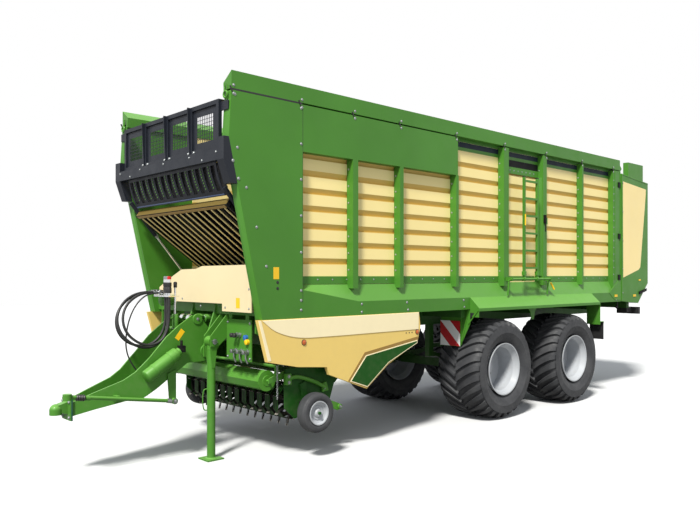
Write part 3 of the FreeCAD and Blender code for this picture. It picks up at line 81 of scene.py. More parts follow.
@dataclass(frozen=True)
class Shape:
    """Surface kept as arrays: points (n, 3) and groups of faces with equal corner counts."""

    points: np.ndarray
    faces: tuple[np.ndarray, ...]

    @staticmethod
    def join(shapes: Iterable["Shape"]) -> "Shape":
        """Put several shapes into one.

        Args:
            shapes: the shapes, which keep their places.

        Returns:
            One shape with all their points and faces.
        """
        points, faces, start = [], [], 0
        for shape in shapes:
            points.append(shape.points)
            faces.extend(group + start for group in shape.faces)
            start += len(shape.points)
        return Shape(np.concatenate(points), tuple(faces))

    def moved(self, x: float = 0.0, y: float = 0.0, z: float = 0.0) -> "Shape":
        """Return the shape shifted by three distances."""
        return Shape(self.points + np.array([x, y, z]), self.faces)

    def turned(self, axis: int, degrees: float, at: Sequence[float] = (0, 0, 0)) -> "Shape":
        """Return the shape turned about a line along one axis.

        Args:
            axis: 0, 1 or 2 for a line along X, Y or Z.
            degrees: angle by the right-hand rule.
            at: a point on the line.

        Returns:
            The turned shape.
        """
        turn = math.radians(degrees)
        first, second = (axis + 1) % 3, (axis + 2) % 3
        matrix = np.eye(3)
        matrix[first, first] = matrix[second, second] = math.cos(turn)
        matrix[first, second] = -math.sin(turn)
        matrix[second, first] = math.sin(turn)
        centre = np.array(at, float)
        return Shape((self.points - centre) @ matrix.T + centre, self.faces)

    def other_side(self) -> "Shape":
        """Return the mirror image across the wagon's middle, with its faces outwards."""
        return Shape(self.points * np.array([1, -1, 1]), tuple(group[:, ::-1] for group in self.faces))

    def both_sides(self) -> "Shape":
        """Return the shape together with its mirror image."""
        return Shape.join([self, self.other_side()])

    def repeated(self, offsets: np.ndarray) -> "Shape":
        """Copy the shape to many places at once.

        Args:
            offsets: (m, 3) shifts.

        Returns:
            One shape of m copies.
        """
        offsets = np.asarray(offsets, float).reshape(-1, 3)
        count = len(self.points)
        points = (self.points[None] + offsets[:, None]).reshape(-1, 3)
        starts = (np.arange(len(offsets)) * count)[:, None, None]
        faces = tuple((group[None] + starts).reshape(-1, group.shape[1]) for group in self.faces)
        return Shape(points, faces)


def grid_faces(rows: int, columns: int, wrap_rows: bool, wrap_columns: bool) -> np.ndarray:
    """Number the four corners of each cell of a grid.

    Args:
        rows: points down the grid.
        columns: points across the grid.
        wrap_rows: whether the last row joins the first.
        wrap_columns: whether the last column joins the first.

    Returns:
        (cells, 4) point numbers.
    """
    down = np.arange(rows if wrap_rows else rows - 1)
    across = np.arange(columns if wrap_columns else columns - 1)
    i, j = np.meshgrid(down, across, indexing="ij")
    below, beside = (i + 1) % rows, (j + 1) % columns
    corners = (i * columns + j, i * columns + beside, below * columns + beside, below * columns + j)
    return np.stack([corner.ravel() for corner in corners], axis=1)


def prism(outline: Sequence[Flat], plane: Plane, low: float, high: float) -> Shape:
    """Carry a flat outline straight from one place to another and close both ends.

    Args:
        outline: corner points in the plane, either way round.
        plane: which two axes the points use.
        low: start along the third axis.
        high: end along the third axis.

    Returns:
        The closed solid.
    """
    flat = np.array(outline, float)
    first, second, third = plane.value
    after = np.roll(flat, -1, axis=0)
    area = np.sum(flat[:, 0] * after[:, 1] - after[:, 0] * flat[:, 1])
    right_handed = (first + 1) % 3 == second
    if (area > 0) != right_handed:
        flat = flat[::-1]
    count = len(flat)
    points = np.zeros((2 * count, 3))
    points[:, first] = np.tile(flat[:, 0], 2)
    points[:, second] = np.tile(flat[:, 1], 2)
    points[:count, third] = min(low, high)
    points[count:, third] = max(low, high)
    here = np.arange(count)
    beside = (here + 1) % count
    walls = np.stack([here, beside, beside + count, here + count], axis=1)
    return Shape(points, (walls, here[None, ::-1], here[None] + count))


def side_plate(outline: Sequence[Flat], face: float, out: float) -> Shape:
    """Return a plate with an outline in X and Z that stands out from a face of the left side."""
    return prism(outline, Plane.XZ, face - SKIN, face + out)


def block(low: Sequence[float], high: Sequence[float]) -> Shape:
    """Return a box between two corners."""
    outline = [(low[0], low[1]), (high[0], low[1]), (high[0], high[1]), (low[0], high[1])]
    return prism(outline, Plane.XY, low[2], high[2])


def turned(profile: Sequence[Flat], at: Sequence[float], axis: int = 1,
           steps: int = 24, ring: bool = False) -> Shape:
    """Turn a profile about a line along one axis.

    Each profile point is a place along the line and a radius, and the surface point is the centre
    plus the radius times the cosine and sine of the turn on the other two axes.

    Args:
        profile: (place, radius) points.
        at: a point on the line, from which places are measured.
        axis: 0, 1 or 2 for a line along X, Y or Z.
        steps: points round the line.
        ring: whether the profile closes on itself; otherwise both ends get a flat cap.

    Returns:
        The closed surface.
    """
    line = np.array(profile, float)
    turn = np.linspace(0, 2 * np.pi, steps, endpoint=False)
    points = np.zeros((len(line), steps, 3))
    points[..., axis] = line[:, :1]
    points[..., (axis + 1) % 3] = line[:, 1:] * np.cos(turn)
    points[..., (axis + 2) % 3] = line[:, 1:] * np.sin(turn)
    cells = grid_faces(len(line), steps, ring, True)
    if ring:
        after = np.roll(line, -1, axis=0)
        forward = np.sum(line[:, 0] * after[:, 1] - after[:, 0] * line[:, 1]) < 0
    else:
        forward = line[-1, 0] > line[0, 0]
    if not forward:
        cells = cells[:, ::-1]
    faces = [cells]
    if not ring:
        first = np.arange(steps)[None]
        last = first + (len(line) - 1) * steps
        faces += [first[:, ::-1], last] if forward else [first, last[:, ::-1]]
    return Shape(points.reshape(-1, 3) + np.array(at, float), tuple(faces))


def smooth_line(points: Sequence[Sequence[float]], per_run: int = 6) -> np.ndarray:
    """Pass a smooth line through points.

    Between two points it is the cubic whose slopes at its ends are half the step from the point
    before to the point after.

    Args:
        points: places that the line passes through.
        per_run: steps from each point to the next.

    Returns:
        (n, d) places along the line.
    """
    given = np.array(points, float)
    slope = np.gradient(given, axis=0)
    t = np.linspace(0, 1, per_run, endpoint=False)[None, :, None]
    a, b, u, v = given[:-1, None], given[1:, None], slope[:-1, None], slope[1:, None]
    curve = ((2 * t ** 3 - 3 * t ** 2 + 1) * a + (t ** 3 - 2 * t ** 2 + t) * u
             + (3 * t ** 2 - 2 * t ** 3) * b + (t ** 3 - t ** 2) * v)
    return np.concatenate([curve.reshape(-1, given.shape[1]), given[-1:]])


def tube(path: Sequence[Sequence[float]], radius: float | np.ndarray, steps: int = 12) -> Shape:
    """Carry a circle along a path and close its ends.

    Each ring is the path's point plus the radius times the cosine of the turn on one side vector
    and its sine on the other, and both side vectors are square to the path's direction there.

    Args:
        path: (n, 3) places.
        radius: one radius, or one for each place.
        steps: points round the circle.

    Returns:
        The closed tube.
    """
    line = np.array(path, float)
    along = np.gradient(line, axis=0)
    along /= np.linalg.norm(along, axis=1, keepdims=True)
    least = np.eye(3)[np.argmin(np.abs(along).max(axis=0))]
    side = np.cross(along, least)
    side /= np.linalg.norm(side, axis=1, keepdims=True)
    other = np.cross(along, side)
    turn = np.linspace(0, 2 * np.pi, steps, endpoint=False)
    reach = np.broadcast_to(np.asarray(radius, float), len(line))[:, None, None]
    points = line[:, None] + reach * (np.cos(turn)[None, :, None] * side[:, None]
                                      + np.sin(turn)[None, :, None] * other[:, None])
    first = np.arange(steps)[None]
    return Shape(points.reshape(-1, 3), (grid_faces(len(line), steps, False, True), first[:, ::-1],
                                         first + (len(line) - 1) * steps))


def rod(start: Sequence[float], end: Sequence[float], radius: float, steps: int = 14) -> Shape:
    """Return a straight round bar between two places."""
    return tube([start, end], radius, steps)


def dome_bolts(places: np.ndarray, axis: int, radius: float = 0.011, side: float = 1.0) -> Shape:
    """Set dome-headed bolts with their washers on a flat face.

    The head is a quarter-circle profile over a flat washer, turned about the bolt's line.

    Args:
        places: (m, 3) points on the face.
        axis: axis the bolts stand along.
        radius: radius of the head.
        side: 1 if they point along the axis, -1 if against it.

    Returns:
        One shape of all the bolts.
    """
    bend = np.linspace(0, np.pi / 2, 4)
    head = np.stack([0.25 + 0.6 * np.sin(bend), np.cos(bend)], axis=1)
    washer = np.array([[-0.1, 1.45], [0.2, 1.45], [0.25, 1.0]])
    profile = np.concatenate([washer, head[1:-1], [[0.85, 0.12]]]) * radius
    profile[:, 0] *= side
    return turned(profile, (0, 0, 0), axis, 10).repeated(places)


def hex_bolts(places: np.ndarray, axis: int, radius: float = 0.014, side: float = 1.0) -> Shape:
    """Set hexagon heads on flat washers on a flat face.

    Args:
        places: (m, 3) points on the face.
        axis: axis the bolts stand along.
        radius: radius of the head over its corners.
        side: 1 if they point along the axis, -1 if against it.

    Returns:
        One shape of all the bolts.
    """
    head = turned([(0.0, radius), (side * radius * 0.8, radius), (side * radius, radius * 0.8)],
                  (0, 0, 0), axis, 6)
    washer = turned([(0.0, radius * 1.4), (side * radius * 0.2, radius * 1.4)], ORIGIN, axis, 12)
    return Shape.join([head, washer]).repeated(places)


def places(x: Numbers, y: Numbers, z: Numbers) -> np.ndarray:
    """Combine numbers or arrays for three axes into (m, 3) points."""
    x, y, z = np.broadcast_arrays(np.asarray(x, float), np.asarray(y, float), np.asarray(z, float))
    return np.stack([x.ravel(), y.ravel(), z.ravel()], axis=1)


def corners_of(node: str) -> list[np.ndarray]:
    """Return the lowest and the highest corner of one of the frame's nodes."""
    return [np.array(corner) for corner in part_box(node)]


# ---- Finishes ----
class NodeSheet:
    """Node tree of one material, with short calls to add and link nodes."""

    def __init__(self, name: str) -> None:
        """Start a material with its shader and its Object coordinates.

        Args:
            name: the material's name.
        """
        self.material = bpy.data.materials.new(name)
        self.material.use_nodes = True
        self.tree = self.material.node_tree
        self.shader = self.tree.nodes["Principled BSDF"]
        self.where = self.add("ShaderNodeTexCoord").outputs["Object"]

    def add(self, kind: str, settings: dict | None = None, **inputs: Value) -> bpy.types.Node:
        """Add a node, set its fields and fill its sockets.

        Args:
            kind: Blender's node type.
            settings: fields of the node itself.
            inputs: socket name, with underscores for spaces, to a value or an output to link.

        Returns:
            The node.
        """
        node = self.tree.nodes.new(kind)
        for key, value in (settings or {}).items():
            setattr(node, key, value)
        for key, value in inputs.items():
            self.fill(node.inputs[key.replace("_", " ")], value)
        return node

    def fill(self, socket: Socket, value: Value) -> None:
        """Link an output to a socket, or set the socket's own value.

        Args:
            socket: the socket to fill.
            value: an output to link, a colour or a number.
        """
        if isinstance(value, Socket):
            self.tree.links.new(value, socket)
        elif isinstance(value, tuple) and len(value) == 3 and socket.type == "RGBA":
            socket.default_value = (*value, 1.0)
        else:
            socket.default_value = value

    def noise(self, scale: float, detail: float = 2.0, where: Socket | None = None) -> Socket:
        """Return a noise pattern from 0 to 1 over the object."""
        node = self.add("ShaderNodeTexNoise", Vector=where or self.where, Scale=scale, Detail=detail)
        return node.outputs["Fac"]

    def cells(self, scale: float) -> Socket:
        """Return the distance to the nearest of many scattered points."""
        return self.add("ShaderNodeTexVoronoi", Vector=self.where, Scale=scale).outputs["Distance"]

    def maths(self, kind: str, *values: Value, clamp: bool = False) -> Socket:
        """Work out one step of arithmetic.

        Args:
            kind: Blender's name of the operation.
            values: one to three numbers or outputs.
            clamp: whether the result is held between 0 and 1.

        Returns:
            The result.
        """
        node = self.add("ShaderNodeMath", {"operation": kind, "use_clamp": clamp})
        for socket, value in zip(node.inputs, values):
            self.fill(socket, value)
        return node.outputs[0]

    def ramp(self, value: Value, low: float, high: float, to_low: float = 0.0,
             to_high: float = 1.0) -> Socket:
        """Map a value from one span to another and hold it there.

        Args:
            value: the number to map.
            low: the value that gives to_low.
            high: the value that gives to_high.
            to_low: result at low.
            to_high: result at high.

        Returns:
            The mapped number.
        """
        node = self.add("ShaderNodeMapRange", {"clamp": True}, Value=value)
        names = ("From Min", "From Max", "To Min", "To Max")
        for name, number in zip(names, (low, high, to_low, to_high)):
            node.inputs[name].default_value = number
        return node.outputs["Result"]

    def mix(self, factor: Value, first: Value, second: Value) -> Socket:
        """Blend two colours.

        Args:
            factor: 0 for the first colour alone, 1 for the second.
            first: one colour.
            second: the other colour.

        Returns:
            The blend.
        """
        node = self.add("ShaderNodeMix", {"data_type": "RGBA"})
        colours = [socket for socket in node.inputs if socket.type == "RGBA"]
        for socket, value in zip((node.inputs["Factor"], *colours), (factor, first, second)):
            self.fill(socket, value)
        return next(socket for socket in node.outputs if socket.type == "RGBA")

    def shaded(self, colour: Value, value: Value) -> Socket:
        """Lighten or darken a colour.

        Args:
            colour: the colour.
            value: what its brightness is multiplied by.

        Returns:
            The shaded colour.
        """
        node = self.tree.nodes.new("ShaderNodeHueSaturation")
        self.fill(node.inputs["Color"], colour)
        self.fill(node.inputs["Value"], value)
        return node.outputs["Color"]

    def axes(self) -> bpy.types.NodeOutputs:
        """Return the place on the wagon as separate X, Y and Z outputs."""
        return self.add("ShaderNodeSeparateXYZ", Vector=self.where).outputs

    def bump(self, pattern: Value, distance: float, strength: float,
             under: Socket | None = None) -> Socket:
        """Tilt the surface by a pattern.

        Args:
            pattern: height pattern from 0 to 1.
            distance: depth of the pattern.
            strength: how much of it shows.
            under: another bump that this one lies over.

        Returns:
            The bumped normal.
        """
        node = self.add("ShaderNodeBump", Height=pattern, Distance=distance, Strength=strength)
        if under is not None:
            self.fill(node.inputs["Normal"], under)
        return node.outputs["Normal"]

    def finish(self, **inputs: Value) -> bpy.types.Material:
        """Fill the shader's sockets.

        Args:
            inputs: socket name, with underscores for spaces, to its value.

        Returns:
            The finished material.
        """
        for key, value in inputs.items():
            self.fill(self.shader.inputs[key.replace("_", " ")], value)
        return self.material


@dataclass(frozen=True)
class Paint:
    """Sprayed enamel: faint clouding, orange peel, sheet waviness and a little road dust.

    Where lift isn't 0, a painted highlight mixes what faces up towards a paler lime, as if lit from above.
    """

    name: str
    slot: str
    colour: Colour
    rough: float = 0.40
    coat: float = 0.08
    gloss: float = 0.28
    cloud: float = 0.07
    dust: float = 0.10
    dust_colour: Colour = (0.30, 0.26, 0.19)
    dust_top: float = 2.0
    dust_foot: float = 0.2
    wave: float = 0.02
    peel: float = 0.0006
    lift: float = 0.0
    top_highlight_colour: Colour = (0.175, 0.430, 0.085)

    def base(self, sheet: NodeSheet) -> Value:
        """Return the paint's colour before its dust."""
        return self.colour

    def build(self) -> bpy.types.Material:
        """Make the material.

        Returns:
            The material, its pattern on Object coordinates.
        """
        sheet = NodeSheet(self.name)
        clouds = sheet.ramp(sheet.noise(1.3, 3.0), 0.3, 0.7, 1 - self.cloud, 1 + self.cloud)
        toned_colour = sheet.shaded(self.base(sheet), clouds)
        # Painted highlight: faces whose normal points up are mixed towards a paler lime.
        if self.lift:
            normal = sheet.add("ShaderNodeNewGeometry").outputs["Normal"]
            up = sheet.add("ShaderNodeSeparateXYZ", Vector=normal).outputs["Z"]
            toned_colour = sheet.mix(sheet.ramp(up, 0.15, 0.60, 0.0, self.lift), toned_colour, self.top_highlight_colour)
        low = sheet.ramp(sheet.axes()["Z"], self.dust_top, self.dust_foot)
        grit = sheet.ramp(sheet.noise(14.0, 8.0), 0.45, 0.75)
        dusty = sheet.maths("MULTIPLY", sheet.maths("MULTIPLY", low, grit), self.dust, clamp=True)
        colour = sheet.mix(dusty, toned_colour, self.dust_colour)
        rough = sheet.ramp(sheet.noise(7.0, 4.0), 0.3, 0.7, self.rough - 0.05, self.rough + 0.09)
        wavy = sheet.bump(sheet.noise(2.2, 2.0), self.wave, 0.05)
        peel = sheet.bump(sheet.noise(420.0, 1.0), self.peel, 0.10, wavy)
        return sheet.finish(Base_Color=colour, Roughness=rough, Normal=peel, Coat_Weight=self.coat,
                            Coat_Roughness=0.10, Specular_IOR_Level=self.gloss)


@dataclass(frozen=True)
class SlatPaint(Paint):
    """Cream wall paint with painted shade in its grooves, by height above the first slat."""

    groove: Colour = (0.72, 0.50, 0.120)
    first: float = 1.980
    pitch: float = 0.190
    flat: float = 0.121
    last: float = 3.620

    def base(self, sheet: NodeSheet) -> Value:
        """Paint cream on the flats and an ochre painted shade in the grooves.

        The share of a slat's pitch that a height has passed tells the flat from the groove.

        Args:
            sheet: the material's nodes.

        Returns:
            The colour over the wall.
        """
        height = sheet.axes()["Z"]
        steps = sheet.maths("DIVIDE", sheet.maths("SUBTRACT", height, self.first), self.pitch)
        share = sheet.maths("FRACT", steps)
        edge = self.flat / self.pitch
        # Painted shade: the groove's share of each pitch is coloured darker ochre.
        inside = sheet.maths("MULTIPLY", sheet.ramp(share, edge - 0.01, edge + 0.01),
                             sheet.ramp(share, 1.0, 0.985))
        inside = sheet.maths("MULTIPLY", inside, sheet.maths("GREATER_THAN", height, self.first))
        inside = sheet.maths("MULTIPLY", inside, sheet.maths("LESS_THAN", height, self.last))
        return sheet.mix(inside, self.colour, self.groove)


@dataclass(frozen=True)
class BandPaint(Paint):
    """Paint with near-black stripes of painted shade between the two side plates, for the gaps between
    dense bands.
    """

    gap_shade: Colour = (0.004, 0.010, 0.004)
    half: float = 0.975
    pitch: float = 0.030
    gap_shade_share: float = 0.55

    def base(self, sheet: NodeSheet) -> Value:
        """Leave the side plates green and stripe what is between them with painted shade.

        Args:
            sheet: the material's nodes.

        Returns:
            The colour over the bands.
        """
        place = sheet.axes()["Y"]
        inside = sheet.maths("LESS_THAN", sheet.maths("ABSOLUTE", place), self.half)
        share = sheet.maths("FRACT", sheet.maths("DIVIDE", place, self.pitch))
        stripes = sheet.mix(sheet.maths("GREATER_THAN", share, self.gap_shade_share), self.gap_shade, self.colour)
        return sheet.mix(inside, self.colour, stripes)


@dataclass(frozen=True)
class Metal:
    """Bare or plated metal with fine scratches and patchy gloss."""

    name: str
    slot: str
    colour: Colour
    rough: float = 0.25
    scratch: float = 0.15
    stain: float = 0.15
    stain_colour: Colour = (0.20, 0.18, 0.15)

    def build(self) -> bpy.types.Material:
        """Make the material.

        Returns:
            The material, its pattern on Object coordinates.
        """
        sheet = NodeSheet(self.name)
        stretch = sheet.add("ShaderNodeMapping", Vector=sheet.where)
        stretch.inputs["Scale"].default_value = (1.0, 30.0, 30.0)
        fine = sheet.noise(22.0, 6.0, stretch.outputs["Vector"])
        patch = sheet.ramp(sheet.noise(9.0, 5.0), 0.45, 0.75, 0.0, self.stain)
        colour = sheet.mix(patch, self.colour, self.stain_colour)
        rough = sheet.ramp(fine, 0.3, 0.7, self.rough - 0.06, self.rough + 0.12)
        normal = sheet.bump(fine, 0.0005, self.scratch)
        return sheet.finish(Base_Color=colour, Roughness=rough, Normal=normal, Metallic=1.0)


@dataclass(frozen=True)
class Rubber:
    """Moulded rubber with a dusty bloom in patches, more of it near the ground."""

    name: str
    slot: str
    colour: Colour = (0.033, 0.035, 0.040)
    bloom: Colour = (0.100, 0.102, 0.108)
    amount: float = 0.55
    grain: float = 180.0
    rough: float = 0.62

    def build(self) -> bpy.types.Material:
        """Make the material.

        Returns:
            The material, its pattern on Object coordinates.
        """
        sheet = NodeSheet(self.name)
        patch = sheet.ramp(sheet.noise(5.0, 8.0), 0.38, 0.72)
        low = sheet.ramp(sheet.axes()["Z"], 1.6, 0.0, 0.45, 1.0)
        dusty = sheet.maths("MULTIPLY", sheet.maths("MULTIPLY", patch, low), self.amount, clamp=True)
        colour = sheet.mix(dusty, self.colour, self.bloom)
        rough = sheet.ramp(sheet.noise(30.0, 4.0), 0.3, 0.7, self.rough - 0.1, self.rough + 0.15)
        broad = sheet.bump(sheet.noise(11.0, 3.0), 0.004, 0.12)
        normal = sheet.bump(sheet.noise(self.grain, 4.0), 0.0012, 0.30, broad)
        return sheet.finish(Base_Color=colour, Roughness=rough, Normal=normal)


@dataclass(frozen=True)
class Lens:
    """Moulded reflector or lamp glass with a fine prism pattern."""

    name: str
    slot: str
    colour: Colour

    def build(self) -> bpy.types.Material:
        """Make the material.

        Returns:
            The material, its pattern on Object coordinates.
        """
        sheet = NodeSheet(self.name)
        cells = sheet.cells(160.0)
        deep = tuple(part * 0.55 for part in self.colour)
        colour = sheet.mix(sheet.ramp(cells, 0.1, 0.7), self.colour, deep)
        return sheet.finish(Base_Color=colour, Roughness=0.12, Normal=sheet.bump(cells, 0.001, 0.3),
                            Coat_Weight=0.8, Coat_Roughness=0.03)


@dataclass(frozen=True)
class Striped:
    """Warning board: slanted red and white reflective bands on Object coordinates."""

    name: str
    slot: str
    red: Colour = (0.52, 0.012, 0.02)
    white: Colour = (0.86, 0.87, 0.88)
    pitch: float = 0.340
    start: float = 1.715

    def build(self) -> bpy.types.Material:
        """Make the material.

        Returns:
            The material, its pattern on Object coordinates.
        """
        sheet = NodeSheet(self.name)
        axes = sheet.axes()
        across = sheet.maths("ADD", axes["Z"], sheet.maths("ABSOLUTE", axes["Y"]))
        share = sheet.maths("FRACT", sheet.maths("DIVIDE", sheet.maths("SUBTRACT", across, self.start),
                                                 self.pitch))
        band = sheet.maths("GREATER_THAN", share, 0.5)
        cells = sheet.cells(260.0)
        colour = sheet.shaded(sheet.mix(band, self.white, self.red),
                              sheet.ramp(cells, 0.0, 0.8, 0.88, 1.0))
        return sheet.finish(Base_Color=colour, Roughness=0.28, Normal=sheet.bump(cells, 0.0004, 0.15))


# Finishes of the wagon, each with its slot and its colour in linear light.
FINISHES = {
    finish.name: finish for finish in (
        # The two greens carry a painted highlight, through lift, on faces that point up.
        Paint("green_enamel", "green", (0.062, 0.220, 0.024), lift=0.6),
        Paint("light_green_enamel", "bright_green", (0.066, 0.245, 0.021), lift=0.35),
        Paint("deep_green_enamel", "green", (0.014, 0.085, 0.012), coat=0.02, gloss=0.12),
        Paint("cream_enamel", "cream", (1.00, 0.81, 0.37), rough=0.38, coat=0.25, cloud=0.03),
        # The slat wall's grooves carry painted shade.
        SlatPaint("slat_enamel", "cream", (1.00, 0.83, 0.37), rough=0.40, coat=0.2, cloud=0.03),
        Paint("anthracite_enamel", "anthracite", (0.013, 0.016, 0.024), rough=0.46, coat=0.02, dust=0.12),
        Paint("black_enamel", "anthracite", (0.006, 0.006, 0.007), rough=0.55, coat=0.0, gloss=0.15,
              dust=0.2),
        Paint("silver_enamel", "silver", (0.44, 0.465, 0.50), rough=0.30, coat=0.5, dust=0.15),
        Paint("hood_enamel", "cream", (0.86, 0.63, 0.19), rough=0.36, coat=0.2, cloud=0.03),
        Paint("drive_hood_enamel", "cream", (0.78, 0.66, 0.41), rough=0.40, coat=0.1, cloud=0.03),
        # Pale cream as a painted highlight on the hoods' top and front bands and inset borders.
        Paint("hood_highlight_enamel", "cream", (1.00, 0.88, 0.57), rough=0.36, coat=0.2, cloud=0.03),
        # Dark brown cream as painted shade, for the hood's recess and the lip under the ramp.
        Paint("painted_shade_cream_enamel", "cream", (0.33, 0.20, 0.05), rough=0.40, cloud=0.03),
        Paint("blue_grey_enamel", "anthracite", (0.035, 0.055, 0.115), rough=0.4, dust=0.05),
        # Navy as painted shade and sky reflection under the top rail.
        Paint("rail_shade_navy_enamel", "anthracite", (0.010, 0.018, 0.032), rough=0.5, coat=0.0, gloss=0.2,
              dust=0.05),
        # Dark olive as painted shade on the ramp's end edge.
        Paint("ramp_edge_shade_enamel", "cream", (0.15, 0.105, 0.025), rough=0.5, coat=0.0, gloss=0.2,
              cloud=0.03),
        Paint("dark_teal_enamel", "green", (0.010, 0.075, 0.050), rough=0.35),
        Paint("leaf_shade_enamel", "green", (0.075, 0.190, 0.030), rough=0.45),
        # A darker copy of the green as painted shade on the parts under the body, with some dust.
        Paint("underbody_shade_green_enamel", "green", (0.026, 0.105, 0.014), rough=0.45, coat=0.0, dust=0.2),
        # The pick-up's bands carry stripes of painted shade.
        BandPaint("band_enamel", "green", (0.016, 0.085, 0.012), coat=0.0, gloss=0.12),
        Paint("yellow_film", "cream", (0.93, 0.56, 0.015), rough=0.35, coat=0.3, dust=0.05),
        Paint("blue_cap", "anthracite", (0.03, 0.13, 0.42), rough=0.35, dust=0.05),
        Paint("red_cap", "lamp", (0.55, 0.02, 0.02), rough=0.35, dust=0.05),
        Metal("zinc_plate", "steel", (0.34, 0.36, 0.37), rough=0.46),
        Metal("worn_steel", "steel", (0.36, 0.34, 0.31), rough=0.38, stain=0.45),
        Metal("chromed_rod", "chrome", (0.80, 0.81, 0.82), rough=0.10, scratch=0.05, stain=0.03),
        Rubber("tread_rubber", "tyre"),
        Rubber("hose_rubber", "rubber", (0.016, 0.016, 0.017), amount=0.15, grain=320.0, rough=0.45),
        Rubber("black_plastic", "rubber", (0.014, 0.014, 0.015), amount=0.12, grain=500.0, rough=0.50),
        Lens("orange_lens", "lamp", (0.82, 0.16, 0.01)),
        Lens("red_lens", "lamp", (0.80, 0.020, 0.015)),
        Striped("striped_board", "lamp"),
    )
}


@cache
def material(name: str) -> bpy.types.Material:
    """Return a finish's material, made once."""
    return FINISHES[name].build()


def add_piece(name: str, shape: Shape, finish: str, body: str = "wagon", replaced: Sequence[str] = (),
              bevel: float = 0.0, sharp: float = 35.0) -> bpy.types.Object:
    """Turn a shape into a piece of the wagon that rides with a body.

    Args:
        name: the piece's name.
        shape: its surface, in place.
        finish: name of its finish.
        body: body that it moves with.
        replaced: frame nodes that it stands for.
        bevel: width of its rounded edges, or 0 for none.
        sharp: edges steeper than this many degrees stay sharp.

    Returns:
        The Blender object.
    """
    mesh = bpy.data.meshes.new(name)
    loops = np.concatenate([group.ravel() for group in shape.faces])
    counts = np.concatenate([np.full(len(group), group.shape[1]) for group in shape.faces])
    mesh.vertices.add(len(shape.points))
    mesh.vertices.foreach_set("co", shape.points.ravel())
    mesh.loops.add(len(loops))
    mesh.loops.foreach_set("vertex_index", loops)
    mesh.polygons.add(len(counts))
    mesh.polygons.foreach_set("loop_start", np.concatenate([[0], np.cumsum(counts)[:-1]]))
    mesh.update(calc_edges=True)
    mesh.validate()
    mesh.polygons.foreach_set("use_smooth", np.ones(len(counts), bool))
    mesh.set_sharp_from_angle(angle=math.radians(sharp))
    piece = bpy.data.objects.new(name, mesh)
    bpy.context.scene.collection.objects.link(piece)
    mesh.materials.append(material(finish))
    if bevel:
        modifier = piece.modifiers.new("rounded_edges", "BEVEL")
        modifier.width = bevel
        modifier.segments = 2
        modifier.limit_method = "ANGLE"
        modifier.angle_limit = math.radians(30)
        modifier.harden_normals = True
    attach(piece, body)
    if replaced:
        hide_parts(*replaced)
    LOG.info("%s: %d points", name, len(shape.points))
    return piece


def add_pair(name: str, shape: Shape, finish: str, body: str = "wagon", bevel: float = 0.0) -> None:
    """Make one piece of a shape on the left and its mirror image on the right.

    Args:
        name: the piece's name.
        shape: its left half, in place.
        finish: name of its finish.
        body: body that it moves with.
        bevel: width of its rounded edges, or 0 for none.
    """
    add_piece(name, shape.both_sides(), finish, body, bevel=bevel)


